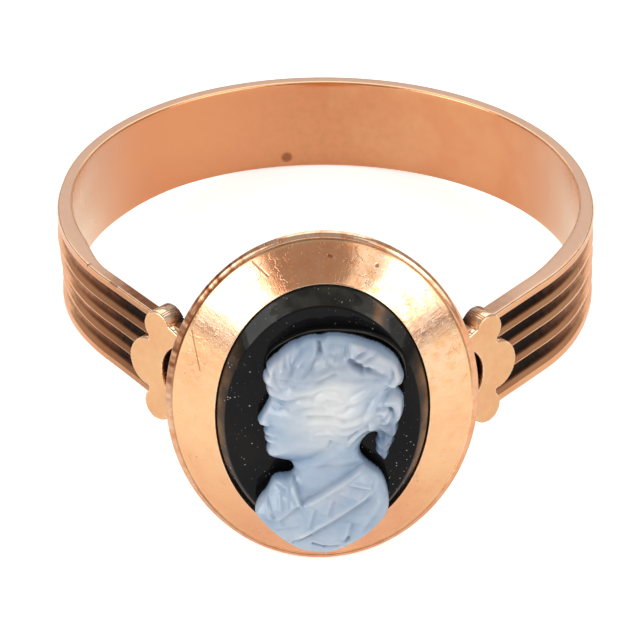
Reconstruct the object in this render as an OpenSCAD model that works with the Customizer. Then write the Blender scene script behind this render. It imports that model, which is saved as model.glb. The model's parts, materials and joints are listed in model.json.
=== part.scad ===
// Cameo ring: rose gold shank with ridged shoulders, clover plates, oval bezel and a two-layer cameo.
// It lies on its side as it rests by itself, front towards -Y, finger axis close to +Z.

/* [Band] */
// Diameter of the finger hole
finger_d = 18; // [15:0.1:22]
// Width of the band along the finger
band_w = 3.45; // [2.6:0.05:5]
// Thickness of the band at the back
band_t = 0.46; // [0.4:0.02:0.9]
// Thickness of the band at its two sides
side_t = 0.52; // [0.48:0.02:1]

/* [Shoulders] */
// Thickness of the straight shoulders
shoulder_t = 0.78; // [0.7:0.02:1.2]
// Angle from the front at which a shoulder leaves the circle
shoulder_angle = 54; // [50:1:60]
// Width of the two border ridges
border_ridge_w = 0.36; // [0.25:0.01:0.5]
// Width of each ridge between them
ridge_w = 0.2; // [0.15:0.01:0.3]
// Number of ridges between the borders
ridge_count = 3; // [2:1:4]
// Depth of the grooves at the shoulders
groove_depth = 0.34; // [0.2:0.02:0.4]
// Depth of the grooves at the sides, where they run out
runout_depth = 0.16; // [0.1:0.02:0.2]

/* [Clover plates] */
// Angle from the front that a plate faces
plate_angle = 41.5; // [39:0.5:44]
// Height of a plate's face above the finger hole
plate_stand = 1.74; // [1.6:0.02:2]
// Thickness of a plate
plate_t = 0.8; // [0.6:0.05:1]
// Length of a plate along the finger
plate_h = 4.24; // [3.8:0.05:5]
// Radius of the middle lobe
mid_lobe_r = 0.95; // [0.8:0.05:1.1]
// Radius of the two end lobes
end_lobe_r = 0.6; // [0.45:0.01:0.7]
// Distance of the middle lobe's centre from the plate's end in the cup's wall
mid_lobe_s = 2.24; // [2:0.02:2.4]
// Distance of the end lobes' centres from that end
end_lobe_s = 1.9; // [1.6:0.02:2]
// Radius of the half-round eye against the bezel
eye_r = 1.15; // [0.7:0.05:1.2]
// Depth of the eye
eye_depth = 0.65; // [0.5:0.05:0.7]

/* [Bezel] */
// Turn of the bezel and the stone about the direction that they face
bezel_turn = 3; // [-6:0.5:6]
// Width of the rim across the finger
rim_w = 10.76; // [10:0.02:12]
// Length of the rim along the finger
rim_h = 12.9; // [12:0.1:14]
// Width of the rounded rim outside the slope
rim_round = 0.28; // [0.15:0.01:0.4]
// Thickness of the rim's rounded edge
rim_t = 0.36; // [0.25:0.01:0.5]
// Height of the slope's foot above the finger hole
rim_stand = 2.45; // [2.2:0.05:2.8]
// Rise of the slope from its foot to the opening
slope_rise = 1.05; // [0.8:0.05:1.2]
// Width of the opening
opening_w = 7.24; // [6.8:0.02:7.6]
// Length of the opening
opening_h = 9.86; // [9.6:0.02:10.6]
// Width of the burnished lip round the opening
lip_w = 0.1; // [0.06:0.01:0.16]
// Width of the closed cup behind the rim, at its back
cup_w = 8.6; // [8.2:0.1:9]
// Length of the cup at its back
cup_h = 9.6; // [9:0.1:10]
// Widening of the cup from its back to the rim, all round
cup_flare = 0.5; // [0.3:0.05:0.6]
// Wall of the cup
cup_wall = 0.75; // [0.6:0.05:0.9]
// Thickness of the cup's closed back at its middle
back_t = 0.5; // [0.4:0.05:0.7]
// Depth to which the back is hollowed by the finger hole
back_fit = 0.3; // [0.28:0.02:0.4]

/* [Stone] */
// Distance of the stone's seat below the slope's foot
seat_drop = 0.15; // [0.05:0.05:0.25]
// Width of the stone at its girdle
girdle_w = 7.8; // [7.5:0.05:8]
// Length of the stone at its girdle
girdle_h = 10.4; // [10.2:0.05:10.8]
// Height of the girdle above the slope's foot
girdle_rise = 0.5; // [0.3:0.05:0.6]
// Width of the flat black ground
table_w = 6.5; // [6.2:0.1:6.8]
// Length of the flat black ground
table_h = 9.2; // [8.8:0.1:9.6]
// Height of the ground above the opening
table_rise = 0.3; // [0.15:0.05:0.4]
// Clearance between the stone and the gold
stone_gap = 0.03; // [0.02:0.01:0.06]

/* [Relief] */
// Height of the pale relief above the ground
relief_t = 1.4; // [1:0.05:1.8]
// Distance from the bust's cut edge to its highest lock
relief_h = 8.28; // [7.6:0.05:8.5]
// Distance from the middle line to the back of the hair
relief_half = 2.8; // [2.5:0.05:2.95]
// Distance of the bust's cut edge inside the ground's edge
relief_margin = 0.03; // [0.02:0.01:0.2]
// Gap between the two layers
layer_gap = 0.02; // [0.01:0.01:0.05]

/* [Hidden] */

// True curves and the sides of the lofted ovals
$fn = 120;
OVAL_SIDES = 72;
RELIEF_ROWS = 66;
RELIEF_COLUMNS = 46;
// Overlap that makes a clean cut or joint, and the angle over which band and shoulder overlap
bite = 0.005;
over = 1;
lap_angle = 1;

// Band and shoulders
finger_r = finger_d / 2;
side_r = finger_r + side_t;
swell = (shoulder_t - side_t) / cos(shoulder_angle);
floor_side_r = side_r - runout_depth;
floor_swell = (shoulder_t - groove_depth - side_t + runout_depth) / cos(shoulder_angle);
groove_w = (band_w - 2 * border_ridge_w - ridge_count * ridge_w) / (ridge_count + 1);
reach = finger_r + rim_stand + rim_w;

// Distances along -Y from the finger axis to the bezel's levels
slope_foot_y = finger_r + rim_stand;
opening_y = slope_foot_y + slope_rise;
rim_back_y = slope_foot_y - rim_t;
seat_y = slope_foot_y - seat_drop;
girdle_y = slope_foot_y + girdle_rise;
table_y = opening_y + table_rise;
back_y = finger_r - back_fit;
cavity_y = finger_r + back_t;
ground_y = table_y + layer_gap;

// Where the straight shoulders and the plates end inside the cup's wall
shoulder_end_x = cup_w / 2 + cup_flare / 4 - cup_wall / 2;
plate_face = finger_r + plate_stand;
plate_end_s = (plate_face * sin(plate_angle) - shoulder_end_x - cup_wall / 3) / cos(plate_angle);
end_lobe_z = plate_h / 2 - end_lobe_r;
arm_foot_z = 0.62 * end_lobe_z;
eye_s = mid_lobe_s - mid_lobe_r - eye_r * 0.69;

// Lays the standing ring on its side
module resting() {
    translate([0, -middle_y, lift])
        rotate([-tilt, 0, 0])
            children();
}

// Lofted ovals
// A row is [distance along -Y, half width, half length]; a row with no width closes the loft
function oval(row) = [
    for (i = [0:OVAL_SIDES - 1])
        let (a = (i + 0.5) * 360 / OVAL_SIDES)
        [row[1] * cos(a), -row[0], row[2] * sin(a)]
];

module oval_loft(rows) {
    n = OVAL_SIDES;
    inner = [for (k = [1:len(rows) - 2]) rows[k]];
    rings = [for (row = inner) each oval(row)];
    first = len(rings);
    last = first + 1;
    count = len(inner);
    points = concat(rings, [[0, -rows[0][0], 0], [0, -rows[len(rows) - 1][0], 0]]);
    caps = [
        for (i = [0:n - 1])
            let (j = (i + 1) % n)
            each [[first, i, j], [last, (count - 1) * n + j, (count - 1) * n + i]]
    ];
    walls = [
        for (k = [0:count - 2], i = [0:n - 1])
            let (j = (i + 1) % n, a = k * n, b = a + n)
            each [[a + i, b + j, a + j], [a + i, b + i, b + j]]
    ];
    polyhedron(points = points, faces = concat(caps, walls), convexity = 6);
}

// Outside of the bezel from the cup's back to the lip
function bezel_outside() = [
    [back_y, cup_w / 2, cup_h / 2],
    [rim_back_y - rim_t / 2, cup_w / 2 + cup_flare, cup_h / 2 + cup_flare * 1.6],
    [rim_back_y, rim_w / 2 - rim_round * 0.6, rim_h / 2 - rim_round * 0.6],
    [rim_back_y + rim_t * 0.35, rim_w / 2, rim_h / 2],
    [rim_back_y + rim_t * 0.75, rim_w / 2 - rim_round * 0.3, rim_h / 2 - rim_round * 0.3],
    [slope_foot_y, rim_w / 2 - rim_round, rim_h / 2 - rim_round],
    [opening_y - lip_w * 0.2, opening_w / 2 + lip_w, opening_h / 2 + lip_w],
    [opening_y, opening_w / 2 + lip_w * 0.5, opening_h / 2 + lip_w * 0.5]
];

// Inside of the bezel: lip, pocket round the stone, seat and hollow cup
function bezel_inside() = [
    [opening_y - lip_w * 0.4, opening_w / 2, opening_h / 2],
    [girdle_y, girdle_w / 2 + stone_gap, girdle_h / 2 + stone_gap],
    [seat_y, girdle_w / 2 + stone_gap, girdle_h / 2 + stone_gap],
    [seat_y, cup_w / 2 + cup_flare / 2 - 1.5 * cup_wall, cup_h / 2 - cup_wall],
    [cavity_y, cup_w / 2 - cup_wall, cup_h / 2 - cup_wall]
];

module bezel() {
    rotate([0, bezel_turn, 0])
        oval_loft(concat([[back_y, 0, 0]], bezel_outside(), bezel_inside(), [[cavity_y, 0, 0]]));
}

// Plan of one straight shoulder between two distances from the finger axis
module shoulder_plan(low, high) {
    rotate(shoulder_angle)
        translate([-reach / 2, -high])
            square([reach / 2, high - low]);
}

module both_sides() {
    children();
    mirror([1, 0, 0])
        children();
}

// Plan of the band with swelling sides, which give way to straight shoulders at the front
module band_plan() {
    front_x = reach * tan(shoulder_angle - lap_angle);
    difference() {
        union() {
            circle(r = finger_r + band_t);
            translate([0, -swell])
                circle(r = side_r);
        }
        polygon([[0, 0], [-front_x, -reach], [front_x, -reach]]);
    }
    both_sides()
        difference() {
            shoulder_plan(finger_r - bite, finger_r + shoulder_t - bite);
            translate([shoulder_end_x - reach, -reach])
                square([reach, reach]);
        }
}

// Plan of the groove floors, which leave the band along straight run-outs
module floor_plan() {
    translate([0, -floor_swell])
        circle(r = floor_side_r);
    translate([-floor_side_r, 0])
        square([2 * floor_side_r, reach]);
    both_sides()
        shoulder_plan(0, finger_r + shoulder_t - groove_depth - bite);
}

module grooves() {
    pitch = groove_w + ridge_w;
    for (i = [0:ridge_count])
        translate([0, 0, border_ridge_w - band_w / 2 + i * pitch])
            linear_extrude(groove_w)
                difference() {
                    square(2 * reach, center = true);
                    floor_plan();
                }
}

module shank() {
    difference() {
        translate([0, 0, -band_w / 2])
            linear_extrude(band_w)
                band_plan();
        grooves();
    }
}

// Outline of a clover plate: the first axis runs away from the bezel, the second along the finger
module plate_outline() {
    translate([mid_lobe_s, 0])
        circle(r = mid_lobe_r);
    for (side = [-1, 1]) {
        translate([end_lobe_s, side * end_lobe_z])
            circle(r = end_lobe_r);
        polygon([
            [end_lobe_s + end_lobe_r * 0.4, side * (end_lobe_z + end_lobe_r * 0.9)],
            [0, side * (arm_foot_z + end_lobe_r * 0.45)],
            [0, 0],
            [mid_lobe_s, 0],
            [end_lobe_s + end_lobe_r * 0.7, side * (end_lobe_z - end_lobe_r * 0.7)]
        ]);
    }
}

module plate_place() {
    rotate([90, 0, plate_angle])
        translate([-plate_end_s, 0, plate_face - plate_t])
            children();
}

module plate() {
    plate_place()
        linear_extrude(plate_t)
            plate_outline();
}

module eye() {
    plate_place()
        translate([eye_s, 0, plate_t - eye_depth])
            cylinder(r = eye_r, h = eye_depth + over);
}

// Sub-parts
module gold_mount() {
    color("#E2A676")
        resting()
            difference() {
                union() {
                    difference() {
                        union() {
                            shank();
                            both_sides()
                                plate();
                        }
                        both_sides()
                            eye();
                    }
                    bezel();
                }
                translate([0, 0, -reach / 2])
                    cylinder(r = finger_r, h = reach);
            }
}

module onyx_ground() {
    shoulder_w = opening_w / 2 - stone_gap;
    shoulder_h = opening_h / 2 - stone_gap;
    color("#17161A")
        resting()
            rotate([0, bezel_turn, 0])
                oval_loft([
                    [seat_y + stone_gap, 0, 0],
                    [seat_y + stone_gap, girdle_w / 2, girdle_h / 2],
                    [girdle_y, girdle_w / 2, girdle_h / 2],
                    [opening_y - lip_w * 0.4, shoulder_w, shoulder_h],
                    [table_y, table_w / 2, table_h / 2],
                    [table_y, 0, 0]
                ]);
}

// Relief of the bust in profile
// Columns: level, left edge, right edge, wall height, crown height, as shares of the relief's sizes
OUTLINE = [
    [0.000, -0.13, 0.13, 0.94, 0.98],
    [0.012, -0.24, 0.25, 0.93, 0.98],
    [0.045, -0.42, 0.50, 0.90, 0.98],
    [0.100, -0.60, 0.70, 0.84, 0.97],
    [0.175, -0.79, 0.83, 0.70, 0.95],
    [0.215, -0.80, 0.82, 0.55, 0.92],
    [0.265, -0.66, 0.77, 0.42, 0.87],
    [0.305, -0.60, 0.73, 0.36, 0.80],
    [0.325, -0.50, 0.70, 0.34, 0.74],
    [0.336, -0.35, 0.68, 0.32, 0.70],
    [0.355, -0.34, 0.63, 0.30, 0.66],
    [0.380, -0.36, 0.58, 0.28, 0.66],
    [0.392, -0.44, 0.68, 0.28, 0.69],
    [0.402, -0.58, 0.79, 0.28, 0.72],
    [0.425, -0.67, 0.82, 0.28, 0.77],
    [0.447, -0.68, 0.84, 0.30, 0.80],
    [0.470, -0.65, 0.87, 0.30, 0.84],
    [0.497, -0.69, 0.90, 0.30, 0.87],
    [0.511, -0.67, 0.91, 0.30, 0.88],
    [0.526, -0.70, 0.92, 0.30, 0.90],
    [0.550, -0.69, 0.93, 0.30, 0.92],
    [0.572, -0.79, 0.95, 0.30, 0.94],
    [0.640, -0.68, 0.98, 0.32, 0.98],
    [0.680, -0.63, 0.99, 0.34, 1.00],
    [0.715, -0.65, 1.00, 0.36, 1.00],
    [0.745, -0.66, 1.00, 0.38, 1.00],
    [0.810, -0.66, 0.98, 0.42, 0.98],
    [0.870, -0.61, 0.94, 0.44, 0.94],
    [0.920, -0.48, 0.83, 0.46, 0.89],
    [0.955, -0.33, 0.68, 0.46, 0.84],
    [0.985, -0.14, 0.48, 0.46, 0.78],
    [1.000, 0.00, 0.34, 0.46, 0.72]
];
// Curls of the hair: across, level, radius as shares of the half width, height as a share of the relief
CURLS = [
    [-0.56, 0.800, 0.20, 0.10],
    [-0.40, 0.885, 0.21, 0.11],
    [-0.12, 0.930, 0.21, 0.10],
    [0.16, 0.915, 0.20, 0.09],
    [0.50, 0.885, 0.30, 0.14],
    [0.80, 0.815, 0.21, 0.11],
    [0.84, 0.700, 0.19, 0.10],
    [0.80, 0.600, 0.20, 0.11],
    [0.80, 0.510, 0.17, 0.09],
    [-0.36, 0.760, 0.20, 0.07],
    [-0.08, 0.790, 0.22, 0.06],
    [0.22, 0.770, 0.24, 0.07],
    [0.30, 0.640, 0.26, 0.08],
    [0.06, 0.655, 0.22, 0.07],
    [0.54, 0.690, 0.22, 0.08],
    [0.52, 0.560, 0.20, 0.08],
    [0.08, 0.550, 0.16, 0.07],
    [0.20, 0.470, 0.14, 0.06]
];
// Soft forms: across, level, spread across, spread along, height; a dent has a height below zero
FORMS = [
    [-0.50, 0.695, 0.14, 0.018, 0.05],
    [-0.48, 0.660, 0.12, 0.016, -0.08],
    [-0.36, 0.590, 0.20, 0.035, 0.05],
    [-0.58, 0.455, 0.10, 0.020, 0.06],
    [-0.62, 0.512, 0.06, 0.006, -0.05],
    [0.62, 0.430, 0.14, 0.030, -0.62],
    [0.52, 0.395, 0.10, 0.020, -0.40],
    [0.30, 0.120, 0.30, 0.060, 0.04],
    [-0.40, 0.110, 0.20, 0.050, 0.03]
];
// Folds of the dress: from across, level to across, level, then spread and height
FOLDS = [
    [0.62, 0.330, -0.22, 0.215, 0.055, 0.07],
    [0.56, 0.265, -0.34, 0.130, 0.060, 0.06],
    [0.76, 0.225, -0.08, 0.085, 0.060, 0.07],
    [-0.36, 0.330, -0.18, 0.225, 0.050, 0.06],
    [-0.56, 0.290, -0.40, 0.150, 0.050, 0.05],
    [-0.72, 0.230, -0.52, 0.130, 0.050, 0.05],
    [0.40, 0.130, 0.22, 0.030, 0.050, 0.05],
    [-0.16, 0.040, 0.30, 0.020, 0.050, 0.06]
];

function column(k) = [for (row = OUTLINE) [row[0], row[k]]];
LEFT_EDGE = column(1);
RIGHT_EDGE = column(2);
WALL_HEIGHT = column(3);
CROWN_HEIGHT = column(4);

// Level of the bust's cut edge
relief_base = relief_margin - table_h / 2;

// Rest on the rim's lowest edge and the band's lower back edge
rest_rows = [for (row = bezel_outside()) [row[0], turned_length(row)]];
tilt = max([for (row = rest_rows) atan2(row[1] - band_w / 2, row[0] + finger_r + band_t)]);
lift = (finger_r + band_t) * sin(tilt) + band_w / 2 * cos(tilt);
front_y = max([for (p = relief_points()) -p[1] * cos(tilt) - p[2] * sin(tilt)]);
back_reach = (finger_r + band_t) * cos(tilt) + band_w / 2 * sin(tilt);
middle_y = (back_reach - front_y) / 2;

// Half length of a lofted oval along the finger once the bezel is turned
function turned_length(row) =
    max([for (p = oval(row)) p[2] * cos(bezel_turn) - p[0] * sin(bezel_turn)]);

// Level of a share of the relief's height, from the cut edge up
function level_z(share) = relief_base + share * relief_h;

// Distance from p to the line from a to b
function line_distance(p, a, b) =
    let (t = max(0, min(1, (p - a) * (b - a) / ((b - a) * (b - a)))))
    norm(p - a - t * (b - a));

// A curl winds outwards once from its middle and fades to its edge
function curl_height(p) = sum([
    for (c = CURLS)
        let (
            v = (p - [c[0] * relief_half, level_z(c[1])]) / (c[2] * relief_half),
            d = norm(v)
        )
        if (d < 1) c[3] * (1 - d) * (0.4 + 0.9 * min(1, 3 * d) * cos(400 * d - atan2(v[1], v[0])))
]);

function form_height(p) = sum([
    for (f = FORMS)
        let (
            dx = (p[0] - f[0] * relief_half) / (f[2] * relief_half),
            dz = (p[1] - level_z(f[1])) / (f[3] * relief_h),
            q = dx * dx + dz * dz
        )
        if (q < 9) f[4] * exp(-q)
]);

function fold_height(p) = sum([
    for (f = FOLDS)
        let (
            a = [f[0] * relief_half, level_z(f[1])],
            b = [f[2] * relief_half, level_z(f[3])],
            q = pow(line_distance(p, a, b) / (f[4] * relief_half), 2)
        )
        if (q < 9) f[5] * exp(-q)
]);

function sum(list) = len(list) == 0 ? 0 : list * [for (value = list) 1];

// Height of the relief at a share of the level and a share of the way across
function relief_height(share, across) =
    let (
        left = lookup(share, LEFT_EDGE) * relief_half,
        right = lookup(share, RIGHT_EDGE) * relief_half,
        p = [left + across * (right - left), level_z(share)],
        wall = lookup(share, WALL_HEIGHT),
        crown = lookup(share, CROWN_HEIGHT),
        round = pow(max(0, 1 - pow(abs(2 * across - 1), 2.6)), 0.5),
        detail = min(1, 4 * across * (1 - across) + 0.12),
        height = wall + (crown - wall) * round
            + detail * (curl_height(p) + form_height(p) + fold_height(p))
    )
    relief_t * max(0.08, height);

function relief_point(share, across, height) =
    let (
        left = lookup(share, LEFT_EDGE) * relief_half,
        right = lookup(share, RIGHT_EDGE) * relief_half
    )
    [left + across * (right - left), -ground_y - height, level_z(share)];

function row_share(row) = row / (RELIEF_ROWS - 1);

// Share of the way across of a column, closer together towards both edges
function column_share(k) =
    let (u = k / (RELIEF_COLUMNS - 1))
    0.25 * u + 0.75 * (1 - cos(180 * u)) / 2;

// The lowest and the highest row close to a point each, and the others go from edge to edge
function relief_points() = concat(
    [
        for (row = [1:RELIEF_ROWS - 2], k = [0:RELIEF_COLUMNS - 1])
            let (share = row_share(row), across = column_share(k))
            relief_point(share, across, relief_height(share, across))
    ],
    [for (share = [0, 1]) relief_point(share, 0.5, relief_t * lookup(share, CROWN_HEIGHT))]
);

// The back of the relief: a left and a right point in each row, then the two ends
function relief_back() = concat(
    [for (row = [1:RELIEF_ROWS - 2], across = [0, 1]) relief_point(row_share(row), across, 0)],
    [for (share = [0, 1]) relief_point(share, 0.5, 0)]
);

module cameo_bust() {
    n = RELIEF_COLUMNS;
    m = RELIEF_ROWS - 2;
    low = m * n;
    high = low + 1;
    back = high + 1;
    back_low = back + 2 * m;
    back_high = back_low + 1;
    top_row = (m - 1) * n;
    back_row = back + 2 * (m - 1);
    front_faces = [
        for (row = [0:m - 2], k = [0:n - 2])
            let (a = row * n + k, b = a + n)
            each [[a, b + 1, a + 1], [a, b, b + 1]]
    ];
    end_faces = [
        for (k = [0:n - 2])
            each [[low, k, k + 1], [high, top_row + k + 1, top_row + k]]
    ];
    edge_faces = [
        for (row = [0:m - 2])
            let (a = row * n, b = a + n, c = a + n - 1, d = c + n, e = back + 2 * row)
            each [
                [a, e, e + 2], [a, e + 2, b],
                [c, e + 3, e + 1], [c, d, e + 3],
                [e, e + 1, e + 3], [e, e + 3, e + 2]
            ]
    ];
    corner_faces = [
        [low, back_low, back], [low, back, 0],
        [low, n - 1, back + 1], [low, back + 1, back_low],
        [back_low, back + 1, back],
        [high, back_row, back_high], [high, top_row, back_row],
        [high, back_row + 1, top_row + n - 1], [high, back_high, back_row + 1],
        [back_high, back_row, back_row + 1]
    ];
    color("#C3D3E0")
        resting()
            polyhedron(
                points = concat(relief_points(), relief_back()),
                faces = concat(front_faces, end_faces, edge_faces, corner_faces),
                convexity = 6
            );
}

gold_mount();
onyx_ground();
cameo_bust();
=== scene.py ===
# Cameo ring: a rose gold shank with ridged shoulders, two clover plates, an oval bezel
# and a pale bust carved on a black ground. It lies on its side, as it rests by itself.
import json
import math

import bmesh
import bpy
import numpy as np
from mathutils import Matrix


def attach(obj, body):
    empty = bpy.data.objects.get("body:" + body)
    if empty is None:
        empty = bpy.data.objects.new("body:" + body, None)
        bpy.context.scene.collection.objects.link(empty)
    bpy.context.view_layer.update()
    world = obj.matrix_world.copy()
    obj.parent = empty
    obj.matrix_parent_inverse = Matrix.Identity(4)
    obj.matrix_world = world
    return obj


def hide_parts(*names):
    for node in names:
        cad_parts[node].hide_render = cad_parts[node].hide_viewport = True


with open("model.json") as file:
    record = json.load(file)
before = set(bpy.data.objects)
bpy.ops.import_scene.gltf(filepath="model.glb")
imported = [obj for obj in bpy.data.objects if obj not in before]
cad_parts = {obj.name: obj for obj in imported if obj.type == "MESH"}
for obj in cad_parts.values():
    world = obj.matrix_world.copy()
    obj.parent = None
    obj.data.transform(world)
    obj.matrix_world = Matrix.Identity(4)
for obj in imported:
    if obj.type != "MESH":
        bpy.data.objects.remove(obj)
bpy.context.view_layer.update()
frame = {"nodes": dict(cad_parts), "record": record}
print("frame loaded:", sorted(frame["nodes"]))

# The pieces are worked out on the standing ring, in mm: front towards -Y, finger axis along Z.
# The record's bore says where that ring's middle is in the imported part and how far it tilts.
bore = frame["record"]["mounts"][0]
borePlace = np.array(bore["pos_m"])
tiltSine, tiltCosine = bore["axis"][1], bore["axis"][2]


def toRow(points):
    # A turn about X by the bore's tilt, then mm to metres, then the bore's place
    x, y, z = np.asarray(points, float).reshape(-1, 3).T
    turned = np.stack([x, y * tiltCosine + z * tiltSine, z * tiltCosine - y * tiltSine], -1)
    return turned * 0.001 + borePlace


def ramp(value, zeroAt, oneAt):
    # 3t^2 - 2t^3 of the share t of the way from where it gives 0 to where it gives 1
    t = np.clip((value - zeroAt) / (oneAt - zeroAt), 0, 1)
    return t * t * (3 - 2 * t)


def bell(x):
    # exp(-x^2)
    return np.exp(-np.square(x))


def gridQuads(rows, columns):
    # Quads between neighbours of a grid whose points are numbered row by row
    r, c = np.meshgrid(np.arange(rows - 1), np.arange(columns - 1), indexing="ij")
    a = r * columns + c
    return np.stack([a, a + 1, a + columns + 1, a + columns], -1).reshape(-1, 4)


def signedVolume(points, faces):
    # Sum over fan triangles of a . (b x c) / 6
    total = 0.0
    for block in faces:
        for k in range(1, block.shape[1] - 1):
            a, b, c = points[block[:, 0]], points[block[:, k]], points[block[:, k + 1]]
            total += np.einsum("ij,ij->", a, np.cross(b, c)) / 6
    return total


def putMesh(name, points, faces, material, fields):
    # faces is a list of arrays of corner numbers, turned outwards by the sign of the volume they enclose;
    # fields are values per point that the material reads
    points = np.asarray(points, float).reshape(-1, 3)
    if signedVolume(points - points.mean(0), faces) < 0:
        faces = [block[:, ::-1] for block in faces]
    mesh = bpy.data.meshes.new(name)
    mesh.from_pydata(toRow(points).tolist(), [], sum((block.tolist() for block in faces), []))
    for key, values in fields.items():
        layer = mesh.attributes.new(key, "FLOAT", "POINT")
        layer.data.foreach_set("value", np.asarray(values, np.float32).ravel())
    mesh.polygons.foreach_set("use_smooth", np.ones(len(mesh.polygons), bool))
    mesh.materials.append(material)
    mesh.update()
    piece = bpy.data.objects.new(name, mesh)
    bpy.context.collection.objects.link(piece)
    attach(piece, "root")
    print("made", name, len(mesh.polygons), "faces")
    return piece


def closedTube(name, points, material, fields, startPole=None):
    # Rings of points joined by quads, and at each end a fan to a pole, which is the mean of its ring if none is given.
    # A pole takes the mean of its ring's fields
    rows, columns = points.shape[:2]
    ring, total = np.arange(columns), rows * columns
    start = np.arange(rows - 1)[:, None] * columns
    a, b = start + ring, start + np.roll(ring, -1)
    last = total - columns + ring
    faces = [
        np.stack([a, b, b + columns, a + columns], -1).reshape(-1, 4),
        np.stack([np.roll(ring, -1), ring, np.full(columns, total)], -1),
        np.stack([last, np.roll(last, -1), np.full(columns, total + 1)], -1),
    ]
    poles = [points[0].mean(0) if startPole is None else startPole, points[-1].mean(0)]

    def withPoles(values):
        values = np.broadcast_to(values, (rows, columns))
        return np.append(values, [values[0].mean(), values[-1].mean()])

    return putMesh(name, np.concatenate([points.reshape(-1, 3), poles]), faces, material,
                   {key: withPoles(values) for key, values in fields.items()})


def curveThrough(knots, steps, closed=False):
    # Catmull-Rom curve: between p1 and p2, half of
    # 2 p1 + (p2 - p0) t + (2 p0 - 5 p1 + 4 p2 - p3) t^2 + (3 p1 - p0 - 3 p2 + p3) t^3
    p = np.asarray(knots, float)
    ends = (p[-1:], p[:2]) if closed else (2 * p[:1] - p[1:2], 2 * p[-1:] - p[-2:-1])
    p = np.concatenate([ends[0], p, ends[1]])
    t = np.linspace(0, 1, steps, endpoint=False)[None, :, None]
    p0, p1, p2, p3 = p[:-3, None], p[1:-2, None], p[2:-1, None], p[3:, None]
    curve = 2 * p1 + (p2 - p0) * t + (2 * p0 - 5 * p1 + 4 * p2 - p3) * t**2 + (3 * p1 - p0 - 3 * p2 + p3) * t**3
    curve = 0.5 * curve.reshape(-1, p.shape[1])
    return curve if closed else np.concatenate([curve, p[-2:-1]])


def addNode(tree, kind, values=None, **settings):
    # A node with its settings, and fixed values on its inputs
    made = tree.nodes.new(kind)
    for key, value in settings.items():
        setattr(made, key, value)
    for key, value in (values or {}).items():
        made.inputs[key].default_value = value
    return made


def feed(socket, value):
    # A link if the value is another node's output, else a number or colour on the socket itself
    if isinstance(value, bpy.types.NodeSocket):
        socket.id_data.links.new(value, socket)
    else:
        socket.default_value = (*value, 1) if isinstance(value, tuple) else value


def mathNode(operation, *values, clamp=False):
    # An operation on two values, repeated where there are more, with the last one clamped
    result = values[0]
    for k, value in enumerate(values[1:], 2):
        tree = (result if isinstance(result, bpy.types.NodeSocket) else value).id_data
        made = addNode(tree, "ShaderNodeMath", operation=operation, use_clamp=clamp and k == len(values))
        feed(made.inputs[0], result)
        feed(made.inputs[1], value)
        result = made.outputs[0]
    return result


def times(*values, clamp=False):
    # The product of the values
    return mathNode("MULTIPLY", *values, clamp=clamp)


def plus(*values, clamp=False):
    # The sum of the values
    return mathNode("ADD", *values, clamp=clamp)


def less(*values, clamp=False):
    # The first value less each of the others
    return mathNode("SUBTRACT", *values, clamp=clamp)


def most(*values):
    # The greatest of the values
    return mathNode("MAXIMUM", *values)


def layered(colour, *coats):
    # Each coat is a mask and the colour that it lays over those before it
    for mask, coat in coats:
        made = addNode(mask.id_data, "ShaderNodeMix", data_type="RGBA")
        for number, value in ((0, mask), (6, colour), (7, coat)):
            feed(made.inputs[number], value)
        colour = made.outputs[2]
    return colour


def rangeNode(value, low, high, toLow=0.0, toHigh=1.0):
    # The same easing as ramp's, in a node
    made = addNode(value.id_data, "ShaderNodeMapRange", {1: low, 2: high, 3: toLow, 4: toHigh},
                   interpolation_type="SMOOTHSTEP")
    feed(made.inputs[0], value)
    return made.outputs[0]


def noiseNode(vector, scale, detail=3.0, rough=0.5):
    # Soft noise of this many lumps per unit, with finer ones added, each share of the last as strong
    made = addNode(vector.id_data, "ShaderNodeTexNoise", {"Scale": scale, "Detail": detail, "Roughness": rough})
    feed(made.inputs["Vector"], vector)
    return made.outputs[0]


def stretched(vector, scale, turn=(0, 0, 0)):
    # The vector times the scale on each axis, then turned
    made = addNode(vector.id_data, "ShaderNodeMapping", {"Scale": scale, "Rotation": turn})
    feed(made.inputs["Vector"], vector)
    return made.outputs[0]


def cellNodes(vector, density, **settings):
    # Random cells: the distance to the nearest cell point, and that cell's own random numbers
    cells = addNode(vector.id_data, "ShaderNodeTexVoronoi", **settings)
    feed(cells.inputs["Vector"], vector)
    feed(cells.inputs["Scale"], density)
    chance = addNode(vector.id_data, "ShaderNodeSeparateColor")
    feed(chance.inputs[0], cells.outputs["Color"])
    return cells.outputs["Distance"], chance.outputs


def newGroup(name, inputs, outputs):
    # An input whose value is None is a vector, and every other socket is a number
    group = bpy.data.node_groups.new(name, "ShaderNodeTree")
    for label, value in inputs.items():
        kind = "NodeSocketVector" if value is None else "NodeSocketFloat"
        socket = group.interface.new_socket(label, in_out="INPUT", socket_type=kind)
        if value is not None:
            socket.default_value = value
    for label in outputs:
        group.interface.new_socket(label, in_out="OUTPUT", socket_type="NodeSocketFloat")
    return group, group.nodes.new("NodeGroupInput").outputs, group.nodes.new("NodeGroupOutput").inputs


def useGroup(group, vector, *values):
    # The group at this vector, with values on its other inputs in their order
    made = addNode(vector.id_data, "ShaderNodeGroup", node_tree=group)
    feed(made.inputs[0], vector)
    for socket, value in zip(made.inputs[1:], values):
        socket.default_value = value
    return made.outputs


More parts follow.
